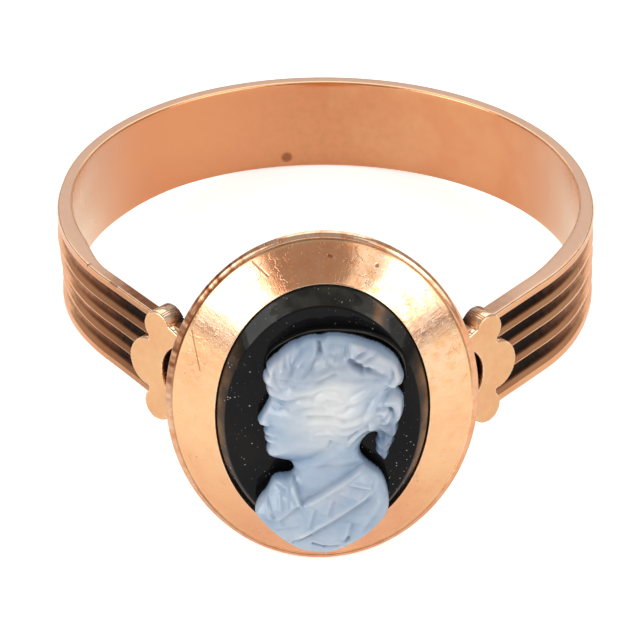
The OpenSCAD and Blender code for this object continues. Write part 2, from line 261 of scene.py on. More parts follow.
def scratchGroup():
    # Three families of long thin lines: noise stretched along turned directions, thresholded,
    # and broken up by a soft noise so that each line starts and ends
    group, given, out = newGroup("fineScratches", {"Vector": None, "Amount": 0.5, "Spread": 1.0}, ("Lines", "Haze"))
    families = []
    for turn, across, along in ((0.35, 7.0, 0.16), (1.25, 9.0, 0.22), (2.5, 8.0, 0.13)):
        flow = stretched(given["Vector"], (across, along, across * 0.6), (0.3, turn, turn))
        lines = rangeNode(noiseNode(flow, 2.2, 2.0, 0.55), 0.64, 0.72)
        broken = rangeNode(noiseNode(given["Vector"], 0.8 + turn * 0.3, 2.0), 0.5, 0.62)
        families.append(times(lines, broken))
    feed(out["Lines"], times(most(*families), given["Amount"], clamp=True))
    feed(out["Haze"], times(noiseNode(given["Vector"], 18.0, 5.0, 0.7), given["Spread"]))
    return group


def pitGroup():
    # Small round pits: the distance to random cell points below a radius that is above zero in few cells
    group, given, out = newGroup("smallPits", {"Vector": None, "Density": 1.6, "Rarity": 0.5}, ("Pits",))
    distance, chance = cellNodes(given["Vector"], given["Density"])
    radius = times(less(chance[0], given["Rarity"], clamp=True), 0.3)
    feed(out["Pits"], times(less(radius, distance), 22.0, clamp=True))
    return group


def speckGroup():
    # Dust on a face that looks along Y: flat cells in X and Z, with a round grain in a few of them
    inputs = {"Vector": None, "Density": 2.0, "Rarity": 0.8, "Size": 0.1}
    group, given, out = newGroup("surfaceSpecks", inputs, ("Specks",))
    flat = stretched(given["Vector"], (1, 1, 1), (math.radians(90), 0, 0))
    distance, chance = cellNodes(flat, given["Density"], voronoi_dimensions="2D")
    radius = times(chance[1], given["Size"], mathNode("GREATER_THAN", chance[0], given["Rarity"]))
    feed(out["Specks"], times(less(radius, distance), 30.0, clamp=True))
    return group


def markGroup():
    # One straight mark: 1 on the piece of line from Start along Run, 0 beyond Width from it
    group, given, out = newGroup("oneMark", {"Vector": None, "Start": None, "Run": None, "Width": 0.1}, ("Mark",))

    def vectorNode(operation, output, inputs):
        made = addNode(group, "ShaderNodeVectorMath", operation=operation)
        for key, value in inputs.items():
            feed(made.inputs[key], value)
        return made.outputs[output]

    off = vectorNode("SUBTRACT", 0, {0: given["Vector"], 1: given["Start"]})
    square = vectorNode("DOT_PRODUCT", "Value", {0: given["Run"], 1: given["Run"]})
    reached = vectorNode("DOT_PRODUCT", "Value", {0: off, 1: given["Run"]})
    share = mathNode("DIVIDE", reached, square, clamp=True)
    nearest = vectorNode("SCALE", 0, {0: given["Run"], "Scale": share})
    gap = vectorNode("LENGTH", "Value", {0: vectorNode("SUBTRACT", 0, {0: off, 1: nearest})})
    mark = less(1.0, mathNode("DIVIDE", gap, given["Width"]), clamp=True)
    soft = addNode(group, "ShaderNodeMath", {1: 1.0, 2: 0.3}, operation="SMOOTH_MIN")
    feed(soft.inputs[0], times(mark, 2.5))
    feed(out["Mark"], soft.outputs[0])
    return group


def crackGroup():
    # Thin wandering cracks: the distance to the borders of warped cells, below a width, where a soft noise lets them be
    group, given, out = newGroup("hairCracks", {"Vector": None, "Density": 1.5, "Width": 0.03}, ("Cracks",))
    wander = addNode(group, "ShaderNodeTexNoise", {"Scale": 1.7, "Detail": 4.0})
    moved = addNode(group, "ShaderNodeVectorMath", {1: (0.9, 0.9, 0.9)}, operation="MULTIPLY_ADD")
    cells = addNode(group, "ShaderNodeTexVoronoi", feature="DISTANCE_TO_EDGE")
    feed(wander.inputs["Vector"], given["Vector"])
    feed(moved.inputs[0], wander.outputs["Color"])
    feed(moved.inputs[2], given["Vector"])
    feed(cells.inputs["Vector"], moved.outputs[0])
    feed(cells.inputs["Scale"], given["Density"])
    lines = less(1.0, mathNode("DIVIDE", cells.outputs["Distance"], given["Width"]), clamp=True)
    there = rangeNode(noiseNode(given["Vector"], 1.1, 2.0), 0.46, 0.60)
    feed(out["Cracks"], times(lines, there))
    return group


fineScratches = scratchGroup()
smallPits = pitGroup()
surfaceSpecks = speckGroup()
oneMark = markGroup()
hairCracks = crackGroup()


def newMaterial(name, values):
    # A Principled shader with these fixed values, and Object coordinates in mm, so that scales are per millimetre
    material = bpy.data.materials.new(name)
    material.use_nodes = True
    tree = material.node_tree
    tree.nodes.clear()
    shader = addNode(tree, "ShaderNodeBsdfPrincipled", values)
    feed(addNode(tree, "ShaderNodeOutputMaterial").inputs[0], shader.outputs[0])
    place = addNode(tree, "ShaderNodeTexCoord").outputs["Object"]
    return material, shader, stretched(place, (1000, 1000, 1000))


def fieldNodes(place, *names):
    # The values per point that the pieces carry under these names
    return [addNode(place.id_data, "ShaderNodeAttribute", attribute_name=name).outputs["Fac"] for name in names]


def finishShader(shader, colour, rough, relief, strength, depth):
    # Colour, roughness, and a bump of this strength whose depth is in metres
    feed(shader.inputs["Base Color"], colour)
    feed(shader.inputs["Roughness"], rough)
    bump = addNode(relief.id_data, "ShaderNodeBump", {"Strength": strength, "Distance": depth})
    feed(bump.inputs["Height"], relief)
    feed(shader.inputs["Normal"], bump.outputs[0])


goldFinish = {
    "bright": (0.965, 0.585, 0.300),
    "copper": (0.850, 0.375, 0.180),
    "filmAndShade": (0.790, 0.540, 0.400),
    "pale": (1.000, 0.860, 0.660),
    "wearAndHighlight": (0.990, 0.735, 0.530),
    "stainAndShade": (0.240, 0.085, 0.035),
    "black": (0.022, 0.014, 0.010),
    # single marks in ring mm: start, end, width, strength
    "bezelMarks": [
        ((0.215, -11.830, 5.80), (0.295, -11.820, 5.74), 0.075, 0.9),
        ((-2.350, -11.501, 5.334), (-1.842, -11.958, 5.051), 0.050, 0.8),
        ((1.850, -11.775, 5.410), (1.852, -11.776, 5.405), 0.085, 0.9),
        ((-4.436, -11.521, 2.690), (-4.148, -12.029, 1.333), 0.028, 0.8),
    ],
    "shankMarks": [
        ((-1.530, 8.870, -1.325), (-1.518, 8.870, -1.325), 0.235, 1.0),
        ((-8.160, -5.120, 1.725), (-8.400, -5.240, 1.640), 0.060, 1.0),
        ((-7.430, -6.420, 1.725), (-7.200, -6.740, 1.725), 0.070, 0.55),
    ],
}


def roseGold(name, rough, roughSpread, scratches, wave, pits, marks):
    # Polished alloy: a soft noise drifts the colour from bright to copper, and the film, pale and wear fields lay
    # pinkish and lighter metal over it, as real film and wear and as painted reflections and highlights. The tarnish
    # field darkens it through brown to black and dulls it, as real tarnish and as painted shade; the brush field lays
    # streaks, freckles and cracks on it, and lines, haze, pits and single marks break the reflections
    g = goldFinish
    material, shader, place = newMaterial(name, {"Metallic": 1.0})
    tarnishAndShade, copper, satin, wearAndHighlight, brush, filmAndShade, pale = fieldNodes(
        place, "tarnishAndShade", "copper", "satin", "wearAndHighlight", "brush", "filmAndShade", "pale")
    around = addNode(place.id_data, "ShaderNodeCombineXYZ")
    for socket, field in zip(around.inputs, fieldNodes(place, "aroundX", "aroundZ", "across")):
        feed(socket, field)
    streaks = times(rangeNode(noiseNode(around.outputs[0], 3.4, 5.0, 0.72), 0.38, 0.66), brush)
    drift = rangeNode(noiseNode(place, 0.55), 0.35, 0.75, 0.0, 0.35)
    warmth = plus(times(streaks, 0.45), drift, copper, clamp=True)
    paled = times(wearAndHighlight, rangeNode(noiseNode(place, 2.6, 4.0, 0.7), 0.36, 0.58), clamp=True)
    darkening = times(tarnishAndShade, rangeNode(noiseNode(place, 3.2, 4.0, 0.65), 0.2, 0.75, 0.88, 1.12), clamp=True)
    cracks = times(useGroup(hairCracks, place, 1.9, 0.035)[0], times(brush, 2.0, clamp=True))
    freckles = rangeNode(noiseNode(place, 6.5, 4.0, 0.62), 0.655, 0.735)
    freckles = times(freckles, times(brush, 2.6, clamp=True))
    dents = most(useGroup(smallPits, place, *pits)[0], times(cracks, 0.45), times(freckles, 0.60))
    for start, end, width, strength in marks:
        a, b = toRow([start, end]) * 1000
        dents = most(dents, times(useGroup(oneMark, place, a, b - a, width)[0], strength))
    colour = layered(
        g["bright"], (warmth, g["copper"]), (filmAndShade, g["filmAndShade"]), (pale, g["pale"]), (paled, g["wearAndHighlight"]),
        (rangeNode(darkening, 0.05, 0.6), g["stainAndShade"]), (rangeNode(darkening, 0.40, 1.0), g["black"]),
        (times(dents, 0.75), g["stainAndShade"]))
    lines, haze = useGroup(fineScratches, place, scratches)
    dull = rangeNode(haze, 0.3, 0.75, rough - roughSpread, rough + roughSpread)
    dull = plus(times(streaks, 0.14), most(dull, times(darkening, 0.62), times(satin, 0.42)))
    dull = plus(times(dull, less(1.0, times(paled, 0.45))), times(lines, 0.18), clamp=True)
    relief = less(times(noiseNode(place, 0.9, 2.0), wave), times(lines, 0.10), times(dents, 0.40), times(streaks, 0.10))
    relief = plus(relief, times(noiseNode(place, 28.0, 3.0, 0.6), 0.045))
    finishShader(shader, colour, dull, relief, 0.35, 0.00006)
    return material


onyxFinish = {
    "black": (0.0050, 0.0048, 0.0055),
    "brownBlack": (0.012, 0.010, 0.009),
    "bevelBrown": (0.265, 0.140, 0.064),
    "bevelGrey": (0.036, 0.035, 0.028),
    "dust": (0.50, 0.52, 0.54),
    # density, rarity and size of the dust grains
    "grains": ((1.7, 0.80, 0.070), (4.2, 0.82, 0.12), (8.5, 0.84, 0.20)),
    "blue": (0.268, 0.402, 0.580),
    "cream": (0.775, 0.795, 0.795),
    "pink": (0.62, 0.59, 0.66),
    "thinBlue": (0.105, 0.165, 0.265),
    "darkening": (0.125, 0.170, 0.225),
    "foot": (0.008, 0.008, 0.010),
    "refraction": 1.54,
}


def blackOnyx():
    # Deep black, polished, with brown and grey light in the bevel and white dust grains of three sizes, thicker
    # where a soft noise lets them gather
    f = onyxFinish
    material, shader, place = newMaterial("blackOnyx", {"IOR": f["refraction"], "Specular IOR Level": 0.13})
    bevel, sky, dust = fieldNodes(place, "bevel", "sky", "dust")
    cloudy = rangeNode(noiseNode(place, 1.6), 0.30, 0.70, 0.35, 1.0)
    gather = rangeNode(noiseNode(place, 0.9, 2.0), 0.40, 0.62, 0.08, 1.0)
    grains = most(*(useGroup(surfaceSpecks, place, *grain)[0] for grain in f["grains"]))
    specks = times(grains, gather, dust, clamp=True)
    colour = layered(
        f["black"], (rangeNode(noiseNode(place, 0.5, 2.0), 0.4, 0.8), f["brownBlack"]),
        (times(bevel, cloudy), f["bevelBrown"]), (times(sky, cloudy), f["bevelGrey"]), (specks, f["dust"]))
    smear = rangeNode(noiseNode(place, 1.3, 4.0, 0.6), 0.35, 0.8, 0.045, 0.13)
    relief = plus(times(noiseNode(place, 1.1, 2.0), 0.3), specks)
    finishShader(shader, colour, most(smear, times(specks, 0.7)), relief, 0.3, 0.00003)
    return material


def paleOnyx():
    # The pale layer: blue where it is thin over the black, creamy where it is thick, with cloudy bands,
    # painted grey shade in the hollows and fine tool marks under a soft polish
    f = onyxFinish
    material, shader, place = newMaterial("paleOnyx", {
        "IOR": f["refraction"], "Subsurface Weight": 0.20, "Subsurface Radius": (0.8, 0.9, 1.0),
        "Subsurface Scale": 0.00035})
    cream, cut, thin, foot = fieldNodes(place, "cream", "cut", "thin", "foot")
    cloud = noiseNode(stretched(place, (1, 1, 1.6)), 0.75, 4.0, 0.55)
    creamy = plus(cream, times(less(cloud, 0.5), 0.9), clamp=True)
    veil = rangeNode(noiseNode(place, 6.0, 4.0, 0.7), 0.3, 0.8, 0.40, 0.80)
    colour = layered(
        f["blue"], (creamy, f["cream"]), (rangeNode(noiseNode(place, 0.42, 2.0), 0.48, 0.72, 0.0, 0.30), f["pink"]),
        (times(thin, 0.85, clamp=True), f["thinBlue"]), (times(cut, veil, clamp=True), f["darkening"]),
        # the lower part of the wall is already the stone's black layer
        (rangeNode(foot, 0.30, 0.42), f["foot"]))
    marks = noiseNode(stretched(place, (6, 6, 1.2), (0.2, 0.5, 0.1)), 4.0, 3.0, 0.6)
    relief = plus(times(marks, 0.4), times(noiseNode(place, 2.2), 0.6))
    finishShader(shader, colour, rangeNode(marks, 0.3, 0.7, 0.11, 0.26), relief, 0.35, 0.00004)
    return material


goldOfShank = roseGold("roseGoldShank", 0.17, 0.05, 0.5, 0.25, (1.2, 0.80), goldFinish["shankMarks"])
goldOfBezel = roseGold("roseGoldBezel", 0.15, 0.05, 0.9, 0.55, (2.1, 0.62), goldFinish["bezelMarks"])
goldOfPlates = roseGold("roseGoldPlates", 0.30, 0.04, 0.7, 0.45, (1.4, 0.82), [])
onyxBlack = blackOnyx()
onyxPale = paleOnyx()
print("materials ready")

shank = {
    "fingerRadius": 9.0,
    "width": 3.45,
    "backThickness": 0.46,
    "sideThickness": 0.52,
    "shoulderThickness": 0.78,
    "shoulderAngle": 54.0,
    "shoulderLength": 6.0,
    # how far the shoulders' inner faces are filed back, and at what angle that starts
    "filedRight": (0.14, 66.0),
    "filedLeft": (0.32, 70.0),
    "borderRidge": 0.36,
    "ridge": 0.20,
    "ridges": 3,
    "grooveDepth": 0.30,
    "runOutDepth": 0.16,
    "deeperRight": 0.11,
    "shallowerLeft": 0.05,
    "leanLeft": 0.16,
    "corner": 0.07,
    # where the grooves' black starts to turn brown, in mm from each plate, and where it has turned
    "blackRight": (1.4, 5.6),
    "blackLeft": (0.2, 4.6),
    "stationsBack": 300,
    "stationsShoulder": 52,
    "columnsOuter": 112,
}
clover = {
    "angle": 41.5,
    "stand": 1.74,
    "thickness": 0.8,
    "height": 4.24,
    "middleRadius": 0.95,
    "endRadius": 0.60,
    "middlePlace": 2.24,
    "endPlace": 1.90,
    "endOffset": 3.76062,
    "eyePlace": 0.4965,
    "eyeRadius": 1.15,
    "eyeDepth": 0.65,
    "round": 0.075,
    "cell": 0.036,
}
plateSine, plateCosine = math.sin(math.radians(clover["angle"])), math.cos(math.radians(clover["angle"]))


def toClover(points):
    # Ring point to the right plate's own axes: away from the bezel, along the finger, and height over the finger axis
    x, y, z = np.moveaxis(points, -1, 0)
    x = np.abs(x)
    return x * plateCosine + y * plateSine + clover["endOffset"], z, x * plateSine - y * plateCosine


def fromClover(along, z, height, side):
    # The plate's axes back to the ring
    run = along - clover["endOffset"]
    x = run * plateCosine + height * plateSine
    return np.stack([side * x, run * plateSine - height * plateCosine, z + 0 * x], -1)


def cloverDistance(along, z):
    # Distance inside the outline: the greatest of the three lobes' and the two arms' distances, less the half-round eye
    r, high = clover["endRadius"], np.abs(z)
    endHeight = clover["height"] / 2 - r
    inside = clover["middleRadius"] - np.hypot(along - clover["middlePlace"], z)
    inside = np.maximum(inside, r - np.hypot(along - clover["endPlace"], high - endHeight))
    foot = 0.62 * endHeight + r * 0.45
    corners = [(clover["endPlace"] + r * 0.4, endHeight + r * 0.9), (0.0, foot), (0.0, -foot),
               (clover["middlePlace"], -0.4), (clover["endPlace"] + r * 0.7, endHeight - r * 0.7)]
    arm = np.full(along.shape, 9.0)
    for (ax, az), (bx, bz) in zip(corners, corners[1:] + corners[:1]):
        arm = np.minimum(arm, ((bx - ax) * (high - az) - (bz - az) * (along - ax)) / math.hypot(bx - ax, bz - az))
    return np.minimum(np.maximum(inside, arm), np.hypot(along - clover["eyePlace"], z) - clover["eyeRadius"])


def makeShank():
    # A profile carried round the back on two swelling circles and forward along the two straight shoulders.
    # A profile point is a share of the wall plus a set-back in mm, and the grooves lower the outside
    p = shank
    n, r, turn = p["stationsShoulder"], p["fingerRadius"], math.radians(p["shoulderAngle"])
    angle = np.linspace(turn, 2 * math.pi - turn, p["stationsBack"])
    fromFront, lean = np.minimum(angle, 2 * math.pi - angle), np.cos(angle)

    def circle(radius, thicker):
        # Distance from the finger axis to a circle whose middle lies forward, so that it is thicker at the shoulders
        shift = thicker / math.cos(turn)
        return shift * lean + np.sqrt(radius**2 - shift**2 * (1 - lean**2))

    def withShoulders(back, right, left):
        # The back's values with one value repeated along each shoulder
        return np.pad(back, n, constant_values=(right, left))

    sideRadius, thicker = r + p["sideThickness"], p["shoulderThickness"] - p["sideThickness"]
    floorRadius = sideRadius - p["runOutDepth"]
    outer = np.maximum(r + p["backThickness"], circle(sideRadius, thicker))
    floor = np.where(lean < 0, floorRadius / np.maximum(np.abs(np.sin(angle)), 0.2),
                     circle(floorRadius, thicker - p["grooveDepth"] + p["runOutDepth"]))
    wall = withShoulders(outer - r, p["shoulderThickness"], p["shoulderThickness"])
    depth = withShoulders(np.maximum(outer - floor, 0), p["grooveDepth"], p["grooveDepth"])[:, None]
    filedOver = math.radians(16)
    (rightFiled, rightStart), (leftFiled, leftStart) = p["filedRight"], p["filedLeft"]
    filed, start = (np.where(angle < math.pi, *pair) for pair in (
        (rightFiled, leftFiled), (math.radians(rightStart), math.radians(leftStart))))
    filed = withShoulders(filed * ramp(fromFront, start, start - filedOver), rightFiled, leftFiled)
    # Nearness to the front: 1 on the shoulders, 0 where the grooves have run out
    front = withShoulders(ramp(fromFront, turn + math.radians(44), turn), 1, 1)[:, None]
    # The shoulders run forward from the sections where the circle ends, the left one as the right one's mirror image
    run = np.linspace(p["shoulderLength"], 0, n, endpoint=False)[:, None]
    outBack, outRight = np.stack([np.sin(angle), -lean], -1), np.array([math.sin(turn), -math.cos(turn)])
    footRight = r * outRight + run * [-math.cos(turn), -math.sin(turn)]
    mirror = np.array([-1, 1])
    out = np.concatenate([np.tile(outRight, (n, 1)), outBack, np.tile(outRight * mirror, (n, 1))])
    foot = np.concatenate([footRight, r * outBack, footRight[::-1] * mirror])
    travel = np.append(0, np.cumsum(np.hypot(*np.diff(foot, axis=0).T)))
    fromEnd = np.minimum(travel, travel[-1] - travel)[:, None]
    # Share of the wall, set-back and place along the finger: an edge is two quarter rounds and a flat side between them
    half, c = p["width"] / 2, p["corner"]
    bend = np.linspace(0, math.pi / 2, 5)
    bow, reach = c * (1 - np.cos(bend)), half - c + c * np.sin(bend)
    outerZ, innerZ = np.linspace(-half + c, half - c, p["columnsOuter"]), np.linspace(half - c, -half + c, 21)[1:-1]
    edge = np.vstack([np.column_stack([np.ones(4), -bow[1:], reach[1:]]),
                      [(share, 0, half) for share in (0.72, 0.5, 0.28)],
                      np.column_stack([np.zeros(5), bow[::-1], reach[::-1]])])
    profile = np.vstack([np.column_stack([1 + 0 * outerZ, 0 * outerZ, outerZ]), edge,
                         np.column_stack([0 * innerZ, 0 * innerZ, innerZ]), edge[::-1] * (1, 1, -1)])
    share, setBack, profileZ = profile.T
    outside = np.arange(len(share)) < len(outerZ)
    # Groove share: a cosine from 1 on the floors to 0 on the ridges' crests; the grooves narrow as they run out
    last = p["ridges"]
    grooveWidth = (p["width"] - 2 * p["borderRidge"] - p["ridges"] * p["ridge"]) / (last + 1)
    pitch = grooveWidth + p["ridge"]
    first = -half + p["borderRidge"] + grooveWidth / 2
    centres = first + pitch * np.clip(np.round((profileZ - first) / pitch), 0, last)
    off = np.abs(profileZ - centres) / (pitch / 2 * (0.86 + 0.14 * front))
    groove = np.cos(np.clip(off, 0, 1) * math.pi / 2) ** 1.15 * outside
    level = share * wall[:, None] + setBack - groove * depth + (1 - share) * filed[:, None]
    x, y = (foot[:, k, None] + level * out[:, k, None] for k in (0, 1))
    # Hand work: the right shoulder is a little deeper below and the left one shallower, and the left side leans in
    deeper = ramp(y, -1, -5) * (profileZ < 0) * np.where(x > 0, p["deeperRight"], -p["shallowerLeft"])
    z = profileZ * (1 + deeper)
    x = x + p["leanLeft"] * ramp(x, -5, -8) * ramp(z, 0.7, -0.7)
    points = np.stack([x, y, z], -1)
    # Under the plates the outside stays below their faces, and the eye goes deeper
    along, across, height = toClover(points)
    onFront, face, right = outside & (y < -4), r + clover["stand"], x > 0
    inEye = onFront & (np.hypot(along - clover["eyePlace"], across) < clover["eyeRadius"] + 0.05)
    inPlate = onFront & (cloverDistance(along, across) > -0.02)
    highest = np.where(inEye, face - clover["eyeDepth"], np.where(inPlate, face - 0.12, np.inf))
    drop = height - np.minimum(height, highest)
    points[..., 0] -= drop * np.sign(x) * plateSine
    points[..., 1] += drop * plateCosine
    # Black in the grooves by the plates, brown further round, sooner on the left; the ridges keep a brown veil there
    way = np.where(y > 2, 30.0, along - 3.1)
    blackEnd, brownStart = (np.where(right, p["blackRight"][k], p["blackLeft"][k]) for k in (0, 1))
    dark = 0.42 + 0.58 * ramp(way, brownStart, blackEnd)
    nearBezel = ramp(fromEnd, p["shoulderLength"] - 3.4, p["shoulderLength"] - 5.0)
    sideFace = (np.abs(profileZ) > half - 1e-6) & ~outside
    inside = (share < 0.02) & (np.abs(profileZ) < half - 0.5 * c)
    byPlate, middle = ramp(way, np.where(right, 2.1, 3.9), -0.3), ramp(y, -3, 6)
    tarnishAndShade = ramp(groove, 0.30, 0.76) * np.clip(depth / 0.22, 0, 1) * dark
    # Painted shade: in the deep eye under each plate the shank is painted black
    for darkening in (np.where(right, 0.15, 0.32) * ramp(way, 6.0, 0.5) * outside, inEye, 0.55 * nearBezel * outside,
                 sideFace * (0.15 + np.where(right, 0.16, 0.45) * byPlate),
                 inside * (0.05 + 0.15 * middle * bell(x / 5.0))):
        tarnishAndShade = np.maximum(tarnishAndShade, darkening)
    # Painted reflections inside: the back of the band is painted deeper copper, where it mirrors the floor in the
    # ring's shade, and the sides paler, where they mirror the bright floor
    copper = inside * (0.22 + 0.78 * middle * np.where(right, 0.75, 1.0)) + 0.60 * outside + 0.45 * sideFace
    onRidges = outside & (np.abs(profileZ) < half - p["borderRidge"])
    crest = onRidges * ramp(groove, 0.10, 0) * np.clip(depth / 0.10, 0, 1)
    corner = (share > 0.5) & ~(outside | inside | sideFace)
    wearAndHighlight = np.maximum(0.35 * crest, 0.75 * corner) * (1 - 0.6 * nearBezel)
    pale = 0.70 * inside * ramp(y, 6.5, 1.0) * ramp(y, -4, 0.5)
    return closedTube("shank", points, goldOfShank, {
        "tarnishAndShade": tarnishAndShade, "satin": 0.80 * sideFace + pale, "copper": copper, "wearAndHighlight": wearAndHighlight, "brush": 0.0,
        "filmAndShade": 0.85 * sideFace, "pale": pale})


shankPiece = makeShank()

bezel = {
    # distance from the finger axis, half width, half length, corner radius, steps to the next corner
    "outside": [
        (8.70, 4.30, 4.80, 0.10, 3),
        (10.91, 4.80, 5.60, 0.10, 8),
        (11.08, 5.20, 6.27, 0.06, 3),
        (11.20, 5.375, 6.445, 0.10, 3),
        (11.36, 5.315, 6.385, 0.07, 2),
        (11.425, 5.200, 6.270, 0.03, 2),
        (11.400, 5.150, 6.220, 0.02, 1),
        (11.450, 5.095, 6.165, 0.03, 1),
        (12.465, 3.730, 5.040, 0.05, 22),
        (12.500, 3.675, 4.985, 0.03, 1),
    ],
    "inside": [
        (12.43, 3.620, 4.930, 0.03, 1),
        (11.95, 3.940, 5.235, 0.05, 2),
        (11.30, 3.940, 5.235, 0.02, 2),
        (11.30, 3.425, 4.300, 0.02, 2),
        (9.50, 3.550, 4.050, 0.10, 3),
    ],
    "around": 288,
    "backRings": 18,
    "turn": 3.3,
    # where the two copper bands cross the slope, in degrees from the right: painted reflections of the dark gap between
    # the side lamps and the floor, with brush streaks
    "reflectionBands": (38.5, 149.0),
    # the opening sits a little to the right and above the rim's middle
    "openingShift": (0.035, 0.07),
}


def turnedOval(x, z, height):
    # Turn about the direction that the bezel faces, and a shift that grows from the rim to the opening
    a, (shiftX, shiftZ) = math.radians(bezel["turn"]), bezel["openingShift"]
    share = ramp(height, 11.4, 12.4)
    return x * math.cos(a) + z * math.sin(a) + shiftX * share, z * math.cos(a) - x * math.sin(a) + shiftZ * share


def roundedCorners(corners, bendSteps=4):
    # Straight runs between corners, and at each corner a quadratic curve from one radius before it to one after.
    # A point's tag is its corner's number, or on the run before that corner half less
    rows = np.array([c[:3] for c in corners], float)
    path, tags = [rows[:1]], [np.zeros(1)]
    t = np.linspace(0, 1, bendSteps + 1)[1:, None]
    previous, end = rows[0], len(rows) - 1
    for k in range(1, len(rows)):
        here, radius = rows[k], corners[k][3]
        back, ahead = here - rows[k - 1], rows[min(k + 1, end)] - here
        a = here - back * min(0.45, radius / max(np.linalg.norm(back), 1e-9))
        b = here + ahead * min(0.45, radius / max(np.linalg.norm(ahead), 1e-9))
        share = np.linspace(0, 1, corners[k][4] + 1)[1:, None]
        path.append(previous + (a - previous) * share)
        tags.append(np.full(len(share), k - 0.5))
        if k < end:
            path.append((1 - t) ** 2 * a + 2 * t * (1 - t) * here + t**2 * b)
            tags.append(np.full(bendSteps, float(k)))
        previous = b
    return np.concatenate(path), np.concatenate(tags)


def ovals(rows, theta):
    # One oval for each row, with the row's half width and half length at its distance from the finger axis
    return rows[:, 1, None] * np.cos(theta), rows[:, 0, None] + 0 * theta, rows[:, 2, None] * np.sin(theta)


def makeBezel():
    # Ovals carried along the profile from the cup's back over the rim and the slope to the lip, and down inside to the
    # cup's floor; the back is pressed in by the finger hole
    p = bezel
    rows, tags = roundedCorners(p["outside"] + p["inside"])
    # The back and the cup's floor are shrinking ovals
    shrink = np.linspace(0, 1, p["backRings"], endpoint=False)[1:]
    back, floor = (row * np.stack([1 + 0 * s, s, s], -1) for row, s in ((rows[0], shrink), (rows[-1], shrink[::-4])))
    rows = np.concatenate([back, rows, floor])
    tags = np.concatenate([np.full(len(back), -1.0), tags, np.full(len(floor), 20.0)])
    theta = (np.arange(p["around"]) / p["around"]) * 2 * math.pi - math.pi / 2
    x, y, z = ovals(rows, theta)
    holeRadius = shank["fingerRadius"]
    y = np.where(tags[:, None] < 0.25, np.maximum(y, np.sqrt(np.maximum(holeRadius**2 - x**2, 0))), y)

    def between(low, high):
        # The rows whose tags lie between these two
        return ((tags > low) & (tags < high))[:, None]

    outerWall, rim, seam, slope, lip, cup = (
        between(*tagged) for tagged in ((-2, 2.2), (2.2, 5.2), (5.2, 7.0), (7.2, 8.2), (8.6, 10.1), (10.2, 21)))
    # Hand finishing: the slope is a little hollow and uneven
    bow = np.sin(np.clip((y - 11.46) / 1.02, 0, 1) * math.pi)
    y = y - slope * bow * (0.018 + 0.006 * np.sin(3 * theta + 0.6) + 0.004 * np.sin(7 * theta))
    x, z = turnedOval(x, z, y)
    top, right = np.sin(theta), np.cos(theta)
    degrees = np.degrees(np.arctan2(top, right))
    left, below, high = ramp(right, -0.35, -0.75), ramp(top, -0.2, -0.8), ramp(top, 0.5, 0.9)
    blotch = 0.6 + 0.4 * np.sin(degrees * 1.9) * np.sin(degrees * 0.83 + 1.0)
    # Two brushed bands and a copper crown, painted as reflections of the dim gaps around the lamps, and between them
    # the two highlights, painted as paler metal that is painted darker towards the rim
    reflectionBands = sum(bell((degrees - band) / 6.0) for band in p["reflectionBands"])
    crown = ramp(degrees, 75, 87) * ramp(degrees, 130, 118)
    shine = ramp(degrees, 42, 50) * ramp(degrees, 76, 64) + ramp(degrees, 116, 126) * ramp(degrees, 146, 140)
    share = (y - 11.45) / 1.02
    dimmed = shine * ramp(share, 0.60, 0.25)
    lowerLeft = ramp(top, -0.1, -0.5) * ramp(right, 0.3, -0.2)
    paintedUpperRightHighlight = ramp(top, 0, 0.4) * (right > 0) * (1 - crown)
    # Painted light on the slope: the bands, the crown and the highlights' outer part are painted darker or more copper,
    # the highlights and the upper right paler, and the lower left a little darker. The rim is darker brown on its left
    # and paler at its top, and the seam darker at its top and left
    fields = {
        "tarnishAndShade": 0.16 * outerWall + 0.8 * cup
        + seam * (0.30 * ramp(top, -0.15, 0.35) + 0.22 * left + 0.08)
        + rim * (0.10 + (0.10 + 0.42 * ramp(top, -0.20, 0.15)) * left * blotch + 0.04 * high)
        + slope * (0.14 * reflectionBands + 0.07 * lowerLeft + 0.10 * dimmed),
        "satin": slope * 0.10,
        "copper": rim * 0.85 + slope * (0.75 * crown + 0.50 * reflectionBands + 0.38 * below),
        "wearAndHighlight": lip * 0.9 + seam * 0.55 + rim * (0.25 + 0.25 * left + 0.5 * high)
        + slope * (0.12 * (1 - below) + 0.65 * shine + 0.35 * paintedUpperRightHighlight),
        "brush": slope * (0.22 + 0.5 * ramp(top, -0.1, 0.4) + 0.28 * reflectionBands),
        "filmAndShade": slope * (0.6 * reflectionBands + 0.75 * dimmed),
        "aroundX": 4.9 * right, "aroundZ": 5.9 * top, "across": 0.35 * share,
    }
    return closedTube("bezel", np.stack([x, -y, z], -1), goldOfBezel, fields, [0, -holeRadius, 0])


bezelPiece = makeBezel()


def cutSheet(u, v, distance, cell):
    # Keeps the part of a grid where the distance is above zero. Points within half a cell of the outline slide onto it
    # along the distance's slope. The edge's other points stay up to a cell inside it, so it is finely notched.
    # Returns moved u and v, kept quads and the outline's edges
    du, dv = np.gradient(distance, u[:, 0], axis=0), np.gradient(distance, v[0], axis=1)
    slide = np.where(np.abs(distance) < 0.52 * cell, distance / np.maximum(du**2 + dv**2, 0.25), 0)
    u, v = u - slide * du, v - slide * dv
    quads = gridQuads(*distance.shape)
    quads = quads[(distance > -0.52 * cell).ravel()[quads].all(1)]
    # A quad of four slid points is a sliver outside or on the outline unless its middle is inside
    quads = quads[distance.ravel()[quads].mean(1) > 0]
    edges = np.concatenate([quads[:, [k, (k + 1) % 4]] for k in range(4)]).astype(np.int64)
    there, back = edges @ [distance.size, 1], edges @ [1, distance.size]
    return u, v, quads, edges[~np.isin(there, back)]


